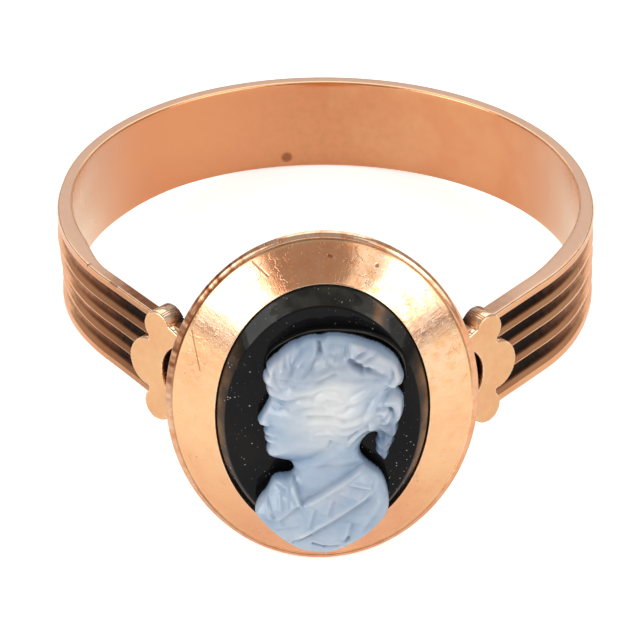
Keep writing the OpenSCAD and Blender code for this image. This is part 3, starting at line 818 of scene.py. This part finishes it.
def closedSheet(name, front, quads, edges, foot, material, fields, footFields):
    # The front grid, a wall from its outline to the foot's points, and a flat back that closes the outline.
    # The foot keeps its rim's fields unless it has its own
    used, rim = np.unique(quads), np.unique(edges)
    number, under = np.full(len(front), -1), np.full(len(front), -1)
    number[used] = np.arange(len(used))
    under[rim] = len(used) + np.arange(len(rim))
    walls = np.stack([number[edges[:, 1]], number[edges[:, 0]], under[edges[:, 0]], under[edges[:, 1]]], -1)
    kept = {key: np.concatenate([values[used], footFields.get(key, values[rim]) + 0 * values[rim]])
            for key, values in fields.items()}
    piece = putMesh(name, np.concatenate([front[used], foot[rim]]), [number[quads], walls], material, kept)
    shape = bmesh.new()
    shape.from_mesh(piece.data)
    made = bmesh.ops.holes_fill(shape, edges=[edge for edge in shape.edges if edge.is_boundary], sides=0)
    for face in made["faces"]:
        face.smooth = False
    shape.to_mesh(piece.data)
    shape.free()
    return piece


def makeClover(side, name):
    # The face is flat with a rounded edge: over the last bit it falls by r - sqrt(r^2 - (r - d)^2), d from the outline
    p = clover
    u, v = np.meshgrid(np.arange(-0.12, 3.3, p["cell"]), np.arange(-2.25, 2.26, p["cell"]), indexing="ij")
    u, v, quads, edges = cutSheet(u, v, cloverDistance(u, v), p["cell"])
    d, r, face = np.maximum(cloverDistance(u, v), 0), p["round"], shank["fingerRadius"] + p["stand"]
    fall = r - np.sqrt(np.maximum(r**2 - np.maximum(r - d, 0) ** 2, 0))
    swell = 0.02 * np.sin(u * 1.7 + side) * np.cos(v * 1.3) - 0.012 * ramp(d, 0.35, 0)
    front = fromClover(u, v, face - fall + swell * ramp(d, 0, 0.2), side).reshape(-1, 3)
    foot = fromClover(u, v, face - p["thickness"] + 0 * u, side).reshape(-1, 3)
    onFace = ramp(d, 0.02, 0.08).ravel()
    eyeDistance = np.hypot(u - p["eyePlace"], v).ravel()
    byEye = ramp(eyeDistance, p["eyeRadius"] + 0.045, p["eyeRadius"])
    rim = np.unique(edges)
    towards = ramp(u, 1.7, 1.0).ravel()[rim]
    # Painted shade: the face by the eye, and the walls most towards the bezel and the eye, are painted dark; the
    # rounded edge is paler metal
    fields = {"tarnishAndShade": np.maximum(0.8 * byEye, 0.19 * onFace), "satin": 0.75 * onFace, "copper": 0.05 + 0 * onFace,
              "wearAndHighlight": 1 - onFace, "brush": 0 * onFace}
    return closedSheet(name, front, quads, edges, foot, goldOfPlates, fields,
                       {"tarnishAndShade": 0.45 + 1.5 * towards + 1.6 * byEye[rim], "copper": 0.6})


cloverPieces = [makeClover(1, "cloverRight"), makeClover(-1, "cloverLeft")]

ground = {
    # distance from the finger axis, half width, half length, corner radius, steps
    "profile": [
        (11.33, 3.90, 5.20, 0.02, 1),
        (11.95, 3.90, 5.20, 0.03, 3),
        (12.44, 3.608, 4.918, 0.02, 3),
        (12.80, 3.32, 4.40, 0.06, 8),
        (12.80, 0.60, 0.80, 0.02, 14),
    ],
    "around": 240,
    # the flat ground sits a little low in the opening, so the bevel is broader at the top
    "flatLower": 0.12,
    # a narrow light streak across the bevel: degrees from the right, width
    "streak": (61, 4.0),
    "ledge": [(-1.92, 2.10), (-1.82, 2.52), (-1.56, 2.84), (-1.20, 3.12), (-0.80, 3.36), (-0.30, 3.52), (0.30, 3.58),
              (0.95, 3.56), (1.50, 3.46), (2.00, 3.27), (2.36, 3.01), (2.64, 2.66), (2.80, 2.26), (2.86, 1.85),
              (2.84, 1.45)],
    "ledgeWidth": 0.085,
    "ledgeHeight": 0.30,
}


def makeGround():
    # Ovals carried along the profile from the stone's back over the bevel to the flat ground
    p = ground
    rows, tags = roundedCorners(p["profile"])
    theta = (np.arange(p["around"]) / p["around"]) * 2 * math.pi
    x, y, z = ovals(rows, theta)
    x, z = turnedOval(x, z, y)
    z = z - p["flatLower"] * ramp(y, 12.45, 12.75)
    # More dust on the face's side of the ground and behind the neck; brown light on the bevel's two sides, most by
    # the gold, and grey light at the top
    gathered = 0.30 + 0.70 * ramp(x, 0.2, -1.3) * ramp(z, 2.6, 1.6) + 0.6 * ramp(x, 1.0, 1.4) * ramp(z, -0.4, -0.9)
    onBevel = ((tags > 2.2) & (tags < 3.0))[:, None]
    outward = np.clip((rows[:, 1, None] - 3.32) / 0.29, 0, 1)
    across, streak = np.cos(theta), bell((np.degrees(theta) - p["streak"][0]) / p["streak"][1])
    brown = (0.20 + 0.95 * outward) * ramp(np.abs(across), 0.80, 0.98) * (0.78 + 0.22 * (across > 0))
    fields = {"dust": (tags > 2.2)[:, None] * gathered, "bevel": onBevel * (brown + 1.2 * streak),
              "sky": onBevel * ramp(np.sin(theta), 0.35, 0.95) * (1 - streak)}
    return closedTube("onyxGround", np.stack([x, -y, z], -1), onyxBlack, fields)


def makeLedge():
    # The thin step that the carver left above the head: a narrow round-topped wall carried along a curve, sinking at
    # both ends
    p = ground
    path = curveThrough(p["ledge"], 14)
    along = np.gradient(path, axis=0)
    along /= np.linalg.norm(along, axis=1)[:, None]
    size = np.maximum(np.sin(np.linspace(0, 1, len(path)) * math.pi) ** 0.4, 0.05)[:, None]
    turn = np.linspace(0, 2 * math.pi, 24, endpoint=False)
    rise = np.clip(np.sin(turn), 0, 1)
    across = p["ledgeWidth"] * size * np.cos(turn) * (1 - 0.45 * rise)
    up = np.where(np.sin(turn) > 0, p["ledgeHeight"] * size * rise**0.7, 0.02 * np.sin(turn))
    x, z = path[:, 0, None] - along[:, 1, None] * across, path[:, 1, None] + along[:, 0, None] * across
    # The crest carries the grey light as a painted highlight
    return closedTube("groundLedge", np.stack([x, -(12.80 + up), z], -1), onyxBlack,
                      {"dust": 0.0, "bevel": 0.0, "sky": 1.6 * (up > 0.8 * size * p["ledgeHeight"])})


groundPieces = [makeGround(), makeLedge()]

bust = {
    "ground": 12.82,
    "cell": 0.0215,
    "outline": [
        (0, -4.56), (0.45, -4.5), (0.95, -4.29), (1.4, -4.02), (1.8, -3.68), (2.1, -3.36), (2.28, -3.08),
        (2.32, -2.75), (2.25, -2.36), (2.14, -2.02), (1.98, -1.76), (1.74, -1.55), (1.5, -1.34), (1.35, -1.12),
        (1.31, -0.9), (1.36, -0.66), (1.48, -0.42), (1.66, -0.22), (1.84, -0.16), (1.9, -0.36), (1.84, -0.58),
        (1.88, -0.78), (1.86, -0.96), (1.98, -1.14), (2.16, -1.3), (2.3, -1.08), (2.33, -0.84), (2.46, -0.6),
        (2.5, -0.32), (2.61, -0.08), (2.62, 0.18), (2.74, 0.46), (2.8, 0.8), (2.78, 1.14), (2.66, 1.38), (2.55, 1.52),
        (2.6, 1.62), (2.74, 1.74), (2.78, 1.98), (2.73, 2.2), (2.67, 2.38), (2.58, 2.6), (2.39, 2.88), (2.19, 3.04),
        (1.93, 3.21), (1.58, 3.35), (1.24, 3.48), (0.9, 3.54), (0.6, 3.59), (0.22, 3.59), (-0.04, 3.51), (-0.28, 3.52),
        (-0.62, 3.44), (-0.84, 3.32), (-1.02, 3.25), (-1.32, 3.01), (-1.47, 2.84), (-1.68, 2.63), (-1.86, 2.38),
        (-1.85, 2.2), (-1.96, 2.04), (-1.98, 1.82), (-1.89, 1.64), (-1.87, 1.42), (-1.77, 1.14), (-1.81, 0.94),
        (-1.93, 0.68), (-2.06, 0.42), (-2.16, 0.22), (-2.1, 0.09), (-1.92, 0.02), (-1.9, -0.09), (-1.96, -0.22),
        (-1.93, -0.31), (-1.85, -0.36), (-1.92, -0.46), (-1.91, -0.56), (-1.81, -0.68), (-1.86, -0.86), (-1.86, -1.04),
        (-1.7, -1.21), (-1.42, -1.3), (-1.12, -1.39), (-0.97, -1.54), (-0.94, -1.76), (-1.1, -1.9), (-1.44, -1.94),
        (-1.66, -2.06), (-1.84, -2.44), (-2.08, -2.72), (-2.22, -3), (-2.22, -3.18), (-1.98, -3.48), (-1.62, -3.82),
        (-1.18, -4.17), (-0.62, -4.47),
    ],
    # level, height of the edge, height of the crown
    "levels": [
        (-4.6, 1.3, 1.38), (-3.8, 1.18, 1.36), (-3.1, 0.96, 1.33), (-2.4, 0.6, 1.22), (-1.8, 0.46, 1.04),
        (-1.4, 0.4, 0.94), (-0.9, 0.4, 1.04), (0.2, 0.42, 1.16), (1.4, 0.46, 1.24), (2.4, 0.54, 1.24), (3, 0.6, 1.18),
        (3.6, 0.66, 1.04),
    ],
    "rounding": 1.25,
    # locks of hair, the lowest first: start, pull, end, half width, height
    "locks": [
        (-1.35, 2.2, -0.5, 2.22, 0.5, 2.62, 0.36, 0.16), (0.3, 2.5, 1.1, 2.42, 1.95, 2.3, 0.34, 0.15),
        (-1.58, 1.82, -2.02, 2.4, -1.5, 2.78, 0.32, 0.26), (-1.3, 2.02, -1.45, 2.62, -0.82, 3.06, 0.31, 0.25),
        (-0.8, 2.26, -0.68, 2.86, -0.18, 3.24, 0.3, 0.22), (-0.2, 2.52, 0.02, 2.86, 0.5, 3.26, 0.27, 0.2),
        (0.16, 3.26, 0.3, 2.8, 0.76, 2.86, 0.2, 0.17), (0.98, 3, 1.3, 3.62, 2.1, 3.06, 0.36, 0.4),
        (1.2, 2.86, 1.56, 3.24, 1.96, 2.92, 0.24, 0.3), (2.04, 3.02, 2.76, 2.64, 2.42, 2, 0.34, 0.4),
        (1.96, 2.7, 2.34, 2.62, 2.18, 2.1, 0.22, 0.28), (1.56, 2.8, 2.06, 2.98, 2.3, 2.36, 0.3, 0.47),
        (-1.3, 1.44, -0.58, 1.94, 0.34, 1.86, 0.31, 0.2), (0.2, 1.98, 0.95, 1.86, 1.6, 2.12, 0.28, 0.15),
        (0.95, 1.34, 1.42, 1.44, 1.86, 2.04, 0.3, 0.18), (-0.92, 1.06, -0.6, 1.48, -0.1, 1.2, 0.25, 0.19),
        (-0.18, 1.26, 0.12, 1.92, 0.62, 1.42, 0.27, 0.21), (0.1, 1.16, 0.46, 0.86, 0.88, 1.3, 0.2, 0.17),
        (-0.58, 0.86, -0.06, 1.06, 0.38, 0.86, 0.19, 0.14), (0.72, 0.8, 1.16, 0.82, 1.56, 1.42, 0.25, 0.17),
        (-0.4, 0.46, 0.1, 0.66, 0.6, 0.44, 0.19, 0.14), (0.62, 0.44, 1.1, 0.26, 1.62, 0.86, 0.22, 0.17),
        (-0.16, 0.04, 0.18, 0.24, 0.48, 0.02, 0.15, 0.11), (0.6, 0.12, 0.9, -0.08, 1.5, 0.44, 0.18, 0.15),
        (0.96, -0.5, 1.15, 0, 1.8, 0.3, 0.17, 0.16), (1.46, 0.5, 1.75, 1.05, 2, 1.65, 0.22, 0.19),
        (2.02, 1.24, 2.78, 1.56, 2.6, 0.52, 0.26, 0.38), (1.92, 0.92, 2.36, 1.08, 2.14, 0.4, 0.2, 0.28),
        (2.58, 0.52, 2.3, 0.06, 2.08, 0.28, 0.17, 0.22), (2.14, 0.22, 2.62, 0.06, 2.34, -0.42, 0.21, 0.26),
        (2.44, -0.2, 1.98, -0.4, 2.1, -0.76, 0.18, 0.24), (1.98, -0.6, 2.44, -0.7, 2.2, -1.2, 0.15, 0.2),
    ],
    # how much a lock sinks what lies under it, and how softly it meets its neighbours
    "lockSink": 0.55,
    "lockJoin": 0.09,
    # strands along a lock: height, number across, drift along, and how each lock differs
    "strands": ((0.035, 6.0, 1.6, 1), (0.016, 14.0, -2.2, 2)),
    # soft forms of the head, the neck and the hair's hollows: start, end, half width, height; a dent is below zero
    "forms": [
        (-1.8, 1.42, -1.1, 1.5, 0.16, 0.06), (-1.6, 1.04, -1.32, 1.04, 0.22, -0.15),
        (-1.56, 1.02, -1.46, 1.02, 0.12, 0.13), (-1.78, 1.06, -2.12, 0.26, 0.13, 0.12),
        (-1.88, 0.2, -1.84, 0.2, 0.1, 0.09), (-1.7, 0.34, -1.66, 0.12, 0.08, -0.05),
        (-1.1, 0.32, -0.95, 0.22, 0.42, 0.1), (-1.95, -0.2, -1.64, -0.25, 0.07, 0.05),
        (-1.92, -0.36, -1.54, -0.36, 0.045, -0.05), (-1.9, -0.49, -1.64, -0.46, 0.08, 0.05),
        (-1.8, -0.68, -1.62, -0.66, 0.1, -0.04), (-1.72, -0.96, -1.6, -0.96, 0.2, 0.07),
        (-1.2, -0.75, -0.3, -0.35, 0.34, 0.06), (-1.1, -1.48, -0.3, -1.04, 0.16, -0.12),
        (-0.3, -1.04, 0.42, -0.52, 0.18, -0.1), (-1.74, 1.02, -1.54, 1.14, 0.045, 0.045),
        (-1.54, 1.14, -1.3, 1.02, 0.045, 0.045), (-1.72, 0.96, -1.48, 0.89, 0.04, 0.03),
        (-0.55, -1.7, 0.3, -0.85, 0.2, 0.05), (0.55, -1.7, 0.85, -0.95, 0.24, 0.04),
        (1.42, -0.8, 1.5, -1.2, 0.2, -0.12), (-1.28, 2.98, -1.2, 2.74, 0.1, -0.13),
        (-1.04, 3.02, -1.06, 2.76, 0.08, -0.08), (-0.09, 3.44, -0.07, 3.2, 0.07, -0.26),
        (0.42, 2.99, 0.44, 2.98, 0.06, -0.13), (0.28, 3.12, 0.6, 2.9, 0.08, -0.07),
        (0.86, 3.24, 0.96, 2.94, 0.09, -0.1), (0.96, 2.94, 1.16, 2.76, 0.11, -0.26),
        (1.16, 2.76, 1.38, 2.62, 0.12, -0.3), (1.38, 2.62, 1.62, 2.66, 0.11, -0.22),
        (1.62, 2.66, 1.78, 2.74, 0.1, -0.06), (2.16, 2.6, 2.16, 2.24, 0.1, -0.05),
        (2.3, 1.66, 2.78, 1.62, 0.13, -0.24), (2.1, 1.34, 2.36, 1.64, 0.09, -0.14),
        (2.36, 1.02, 2.12, 0.58, 0.07, -0.15), (-1.35, 2.16, -0.98, 2.08, 0.1, -0.07),
        (-0.9, 1.92, -0.34, 1.93, 0.08, -0.09), (-0.34, 1.93, 0.02, 2.13, 0.08, -0.1),
        (0.02, 2.13, 0.48, 2.42, 0.08, -0.08), (0.08, 1.14, 0.48, 1, 0.07, -0.04), (0.48, 1, 0.9, 1.18, 0.07, -0.04),
        (1.5, 1.3, 1.88, 2.2, 0.12, -0.06), (-0.42, 0.73, 0.44, 0.72, 0.07, -0.07),
        (0.44, 0.72, 0.8, 0.6, 0.07, -0.05), (-0.04, 0.19, 0.14, 0.19, 0.055, -0.07),
        (0.34, -0.32, 0.22, -0.58, 0.08, -0.12), (0.95, -0.2, 1.2, 0.1, 0.06, -0.08),
        (2.06, 0.34, 2.5, 0.34, 0.08, -0.08), (2.06, -0.06, 2.1, -0.26, 0.09, -0.12),
    ],
    # folds of the dress: start, end, sharpness, step up to the left of the way there, reach of the step
    "folds": [
        (-0.62, -2.66, 1.52, -1.34, 0.045, -0.12, 0.5), (-0.92, -4.18, 1.86, -2.24, 0.05, 0.11, 0.45),
        (-0.62, -2.76, -1.04, -1.66, 0.045, 0.1, 0.45), (-1.46, -3.36, -0.72, -2.7, 0.06, 0.055, 0.3),
        (1.76, -2.2, 0.92, -1.94, 0.04, -0.05, 0.22), (1.34, -2.46, 0.62, -2.26, 0.05, -0.03, 0.2),
        (0.24, -3.06, 0.44, -2.42, 0.05, 0.045, 0.22), (-0.38, -3.56, -0.18, -2.74, 0.05, 0.045, 0.24),
        (-1.1, -2.26, -1.62, -1.98, 0.045, -0.045, 0.2), (-1.62, -3.32, -1.9, -2.34, 0.05, 0.055, 0.25),
        (-1.3, -2.96, -1.36, -2.32, 0.045, 0.03, 0.16), (-1.08, -2.92, -1.12, -2.4, 0.04, 0.025, 0.12),
        (0.88, -4.12, 1.06, -3.32, 0.05, 0.06, 0.28), (1.36, -3.84, 2.12, -2.62, 0.06, 0.035, 0.3),
        (-0.3, -4.16, 0.18, -4.3, 0.04, 0.05, 0.14), (0.18, -4.3, 0.66, -4.26, 0.04, 0.05, 0.14),
        (-1.62, -3.7, -0.7, -3.46, 0.06, 0.035, 0.26),
    ],
    # dents of the dress: start, end, half width, depth
    "cuts": [
        (-0.92, -4.16, -0.36, -3.84, 0.05, 0.09), (0.86, -4.1, 0.92, -3.98, 0.065, 0.13),
        (-0.24, -4.2, 0.14, -4.3, 0.045, 0.1), (0.14, -4.3, 0.58, -4.27, 0.045, 0.09),
        (-0.99, -1.8, -0.66, -2.66, 0.045, 0.06), (-0.94, -1.6, -0.96, -2, 0.07, 0.1),
    ],
}


def outlineDistance(x, z, outline):
    # Distance to the nearest side of the closed outline, above zero inside by the count of sides crossed on the way out
    best, crossed = np.full(x.shape, 99.0), np.zeros(x.shape, bool)
    for (ax, az), (bx, bz) in zip(outline, np.roll(outline, -1, axis=0)):
        ex, ez = bx - ax, bz - az
        t = np.clip(((x - ax) * ex + (z - az) * ez) / (ex * ex + ez * ez), 0, 1)
        best = np.minimum(best, (x - ax - t * ex) ** 2 + (z - az - t * ez) ** 2)
        if abs(ez) > 1e-12:
            crossed ^= ((az > z) != (bz > z)) & (x < ax + ex * (z - az) / ez)
    return np.where(crossed, 1, -1) * np.sqrt(best)


def lineField(x, z, ax, az, bx, bz):
    # Distance from the piece of line a-b, the distance to its left, and the share along it
    ex, ez = bx - ax, bz - az
    length = math.hypot(ex, ez)
    t = ((x - ax) * ex + (z - az) * ez) / length**2
    left = ((z - az) * ex - (x - ax) * ez) / length
    return np.hypot(x - ax - np.clip(t, 0, 1) * ex, z - az - np.clip(t, 0, 1) * ez), left, t


def lockField(x, z, lock, steps=22):
    # Nearest place on the lock's quadratic curve: distance, signed by side, and share along
    start, pull, end = np.array(lock[:6], float).reshape(3, 2)
    t = np.linspace(0, 1, steps + 1)[:, None]
    curve = (1 - t) ** 2 * start + 2 * t * (1 - t) * pull + t**2 * end
    best, side, share = np.full(x.shape, 99.0), np.zeros(x.shape), np.zeros(x.shape)
    for k in range(steps):
        a, (ex, ez) = curve[k], curve[k + 1] - curve[k]
        s = np.clip(((x - a[0]) * ex + (z - a[1]) * ez) / (ex * ex + ez * ez), 0, 1)
        dx, dz = x - a[0] - s * ex, z - a[1] - s * ez
        gap = np.hypot(dx, dz)
        closer = gap < best
        best = np.where(closer, gap, best)
        side = np.where(closer, np.sign(dx * ez - dz * ex) * gap, side)
        share = np.where(closer, (k + s) / steps, share)
    return side, share


def blurred(values, passes):
    # Repeated averages of each point, counted twice, and its four neighbours
    for _ in range(passes):
        p = np.pad(values, 1, mode="edge")
        values = (p[1:-1, 1:-1] * 2 + p[:-2, 1:-1] + p[2:, 1:-1] + p[1:-1, :-2] + p[1:-1, 2:]) / 6
    return values


def hairField(x, z):
    # Each lock is a rounded, tapering swelling with strands along it. It sinks what lies under it near its middle and
    # meets its neighbours in a soft greatest-of-both: max(a, b) + (k - |a - b|)^2 / 4k where they come within k
    hair, k = np.zeros(x.shape), bust["lockJoin"]
    for number, lock in enumerate(bust["locks"]):
        half, rise = lock[6:]
        knots = np.array(lock[:6]).reshape(3, 2)
        low, high = knots.min(0) - half * 1.5, knots.max(0) + half * 1.5
        patch = tuple(slice(*np.searchsorted(line, (low[k], high[k]))) for k, line in enumerate((x[:, 0], z[0])))
        side, share = lockField(x[patch], z[patch], lock)
        taper = np.sin(np.clip(share, 0.03, 0.97) * math.pi) ** 0.5
        across = side / (half * (0.5 + 0.5 * taper))
        lean = across + 0.18 * (1 - across**2)
        body = np.clip(1 - lean**2, 0, 1) ** 0.75
        strands = sum(fine * np.cos(across * often + drift * share + differ * number)
                      for fine, often, drift, differ in bust["strands"])
        raised = rise * (0.35 + 0.65 * taper) * body * (1 + strands)
        under = hair[patch] * (1 - bust["lockSink"] * ramp(np.abs(across), 1.35, 0.65) * taper)
        hair[patch] = np.maximum(under, raised) + np.clip(k - np.abs(under - raised), 0, k) ** 2 / (4 * k)
    return hair


def makeBust():
    # Height over the ground: from the edge's height to the crown's along a quarter round of the distance from the
    # outline, then hair, soft forms and folds added; the wall drops straight to the ground
    p = bust
    outline = curveThrough(p["outline"], 5, closed=True)
    low, high = outline.min(0) - 0.06, outline.max(0) + 0.06
    plainX, plainZ = np.meshgrid(*(np.arange(low[k], high[k], p["cell"]) for k in (0, 1)), indexing="ij")
    distance = outlineDistance(plainX, plainZ, outline)
    x, z, quads, edges = cutSheet(plainX, plainZ, distance, p["cell"])
    d = np.maximum(distance, 0)
    level, edgeHeight, crownHeight = np.array(p["levels"]).T
    edge, crown = np.interp(z, level, edgeHeight), np.interp(z, level, crownHeight)
    inward = np.clip(d / (p["rounding"] - 0.45 * ramp(z, 1.6, 2.8)), 0, 1)
    height = edge + (crown - edge) * np.sqrt(1 - (1 - inward) ** 2)
    hair = blurred(hairField(plainX, plainZ), 6)
    cloth = np.zeros(x.shape)
    for *line, sharp, step, reach in p["folds"]:
        _, left, t = lineField(x, z, *line)
        ends = ramp(t, -0.015, 0.135) * ramp(t, 1.015, 0.865)
        cloth += 1.25 * step * ends * np.tanh(left / sharp) * np.exp(-np.abs(left) / reach)
        # the raised side is rolled a little at its edge
        cloth += 0.35 * abs(step) * ends * bell((left * np.sign(step) - 1.8 * sharp) / (1.3 * sharp))
    for *line, half, depth in p["cuts"]:
        cloth -= depth * bell(lineField(x, z, *line)[0] / half)
    cloth = cloth * ramp(z, -1.15, -1.45)
    # Soft forms add up, and where dents meet the deeper one counts
    forms, dents = np.zeros(x.shape), np.zeros(x.shape)
    for *line, half, rise in p["forms"]:
        swelling = rise * bell(lineField(x, z, *line)[0] / half)
        forms += np.maximum(swelling, 0)
        dents = np.minimum(dents, swelling)
    forms = forms + blurred(dents, 6)
    height = height + ramp(d, -0.014, 0.126) * (hair + forms + cloth) - 0.06 * ramp(d, 0.07, 0)
    height = np.maximum(blurred(height, 1), 0.05)
    wide, tight = blurred(height, 60), blurred(height, 8)
    # Painted shade: darker where the surface lies below its broad and its near surroundings, less in the middle of the
    # head
    cut = np.clip((wide - height) / 0.15, 0, 1) * 0.85 * ramp(d, 0.06, 0.51)
    cut = cut + np.clip((tight - height) / 0.04, 0, 1) * 0.30
    cut = cut * ramp(d, 0, 0.10) * (1 - 0.45 * bell((x - 0.3) / 1.2) * bell((z - 1.1) / 1.1))
    # Creamy where it is thick and in the middle of the head, and on the crests as a painted highlight; blue and dark
    # where it is thin, at the edges and in the hanging lock, and between the crests in the top of the hair as painted
    # shade
    crests = np.clip((height - wide) / 0.10, 0, 1)
    middle = bell((x - 0.25) / 1.15) * bell((z - 1.05) / 1.30)
    cream = np.clip(0.10 + 0.22 * np.clip((height - 0.40) / 0.95, 0, 1) + 0.80 * middle + 0.30 * crests, 0, 1)
    thin = 0.5 * ramp(height, 0.80, 0.25) + 0.26 * ramp(d, 0.14, 0) * (z > -3.2)
    thin = thin + 0.34 * ramp(z, 1.9, 2.5) * (1 - crests)
    thin = thin + 0.85 * ramp(x, 1.75, 2.15) * ramp(z, 0.8, -0.1) * (z > -1.4)
    front, foot = (np.stack([x, -(p["ground"] + up), z], -1).reshape(-1, 3) for up in (height, 0 * height))
    fields = {"cream": cream.ravel(), "cut": cut.ravel(), "thin": thin.ravel(), "foot": 0 * x.ravel()}
    return closedSheet("cameoBust", front, quads, edges, foot, onyxPale, fields,
                       {"thin": 1.0, "foot": 1.0})


bustPiece = makeBust()

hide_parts("gold_mount")
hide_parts("gold_mount")
for piece in cloverPieces:
    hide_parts("gold_mount")
for piece in groundPieces:
    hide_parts("onyx_ground")
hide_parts("cameo_bust")

studio = {
    "floorSize": 0.9,
    "floorColour": (0.92, 0.92, 0.915),
    "floorGlow": 0.54,
    "floorShine": 0.18,
    "worldColour": (0.43, 0.415, 0.41),
    # name, azimuth from the front, elevation, distance, width, height, radiance, colour
    "boxes": [
        ("softLeft", -62, 25, 0.36, 0.30, 0.22, 1.45, (1.0, 0.985, 0.96)),
        ("softRight", 56, 27, 0.36, 0.30, 0.24, 1.40, (1.0, 0.985, 0.96)),
        ("softBack", 180, 46, 0.42, 0.42, 0.42, 1.20, (1.0, 0.99, 0.98)),
        ("highRight", 46, 56, 0.36, 0.16, 0.09, 0.75, (1.0, 0.985, 0.96)),
        ("coreLeft", -64, 22, 0.34, 0.20, 0.13, 3.0, (0.97, 0.99, 1.0)),
        ("coreRight", 57, 30, 0.34, 0.14, 0.12, 2.2, (0.97, 0.99, 1.0)),
    ],
    # the middle that the boxes stand round, in metres
    "middle": (0, -0.003, 0.005),
}


def makeStudio():
    # A flat floor, even air, and lamps that stand round the middle at their azimuth, elevation and distance,
    # each with its radiance times pi times its area as its power
    s = studio
    half = s["floorSize"] / 2
    mesh = bpy.data.meshes.new("floor")
    mesh.from_pydata([(-half, -half, 0), (half, -half, 0), (half, half, 0), (-half, half, 0)], [], [(0, 1, 2, 3)])
    floor = bpy.data.objects.new("floor", mesh)
    bpy.context.collection.objects.link(floor)
    material, shader, place = newMaterial("floorPaper", {
        "Base Color": (*s["floorColour"], 1), "Roughness": 0.8, "Emission Color": (1, 1, 1, 1)})
    # The paper is lit from below, which the camera sees and, more weakly, the reflections
    path = addNode(place.id_data, "ShaderNodeLightPath").outputs
    glow = plus(times(path["Is Camera Ray"], s["floorGlow"]), times(path["Is Glossy Ray"], s["floorShine"]))
    feed(shader.inputs["Emission Strength"], glow)
    mesh.materials.append(material)
    world = bpy.data.worlds.new("studioAir")
    bpy.context.scene.world = world
    world.use_nodes = True
    world.node_tree.nodes["Background"].inputs[0].default_value = (*s["worldColour"], 1)
    for name, azimuth, elevation, distance, width, height, radiance, colour in s["boxes"]:
        a, e = math.radians(azimuth), math.radians(elevation)
        light = bpy.data.lights.new(name, "AREA")
        light.shape = "RECTANGLE"
        light.size, light.size_y = width, height
        light.energy = radiance * math.pi * width * height
        light.color = colour
        lamp = bpy.data.objects.new(name, light)
        bpy.context.collection.objects.link(lamp)
        away = np.array([math.sin(a) * math.cos(e), -math.cos(a) * math.cos(e), math.sin(e)])
        lamp.location = away * distance + s["middle"]
        lamp.rotation_euler = (math.radians(90) - e, 0, a)
    print("studio ready")


view = {
    "elevation": 28.971, "yaw": -0.54, "roll": -0.263, "distance": 250.0, "lens": 394.39, "right": 0.185, "up": 2.85,
}


def makeCamera():
    # The standing ring is seen from above its front: the eye stands back from the ring's middle along the line of sight
    v = view
    e, yaw, roll = (math.radians(v[k]) for k in ("elevation", "yaw", "roll"))
    right, up, ahead = np.array([[1, 0, 0], [0, math.sin(e), math.cos(e)], [0, math.cos(e), -math.sin(e)]])
    eye = -v["right"] * right - v["up"] * up - v["distance"] * ahead
    right, up = right * math.cos(roll) - up * math.sin(roll), right * math.sin(roll) + up * math.cos(roll)
    spin = np.array([[math.cos(yaw), math.sin(yaw), 0], [-math.sin(yaw), math.cos(yaw), 0], [0, 0, 1]])
    origin = toRow([[0, 0, 0]])[0]
    r = np.stack([(toRow([spin @ axis])[0] - origin) * 1000 for axis in (right, up, -ahead)], -1)
    camera = bpy.data.cameras.new("camera")
    camera.lens, camera.sensor_width = v["lens"], 36
    camera.clip_start, camera.clip_end = 0.01, 10
    eyeObject = bpy.data.objects.new("camera", camera)
    bpy.context.collection.objects.link(eyeObject)
    eyeObject.location = toRow([spin @ eye])[0]
    eyeObject.rotation_euler = (math.atan2(r[2, 1], r[2, 2]), -math.asin(r[2, 0]), math.atan2(r[1, 0], r[0, 0]))
    bpy.context.scene.camera = eyeObject


makeStudio()
makeCamera()
bpy.context.scene.view_settings.view_transform = "Standard"
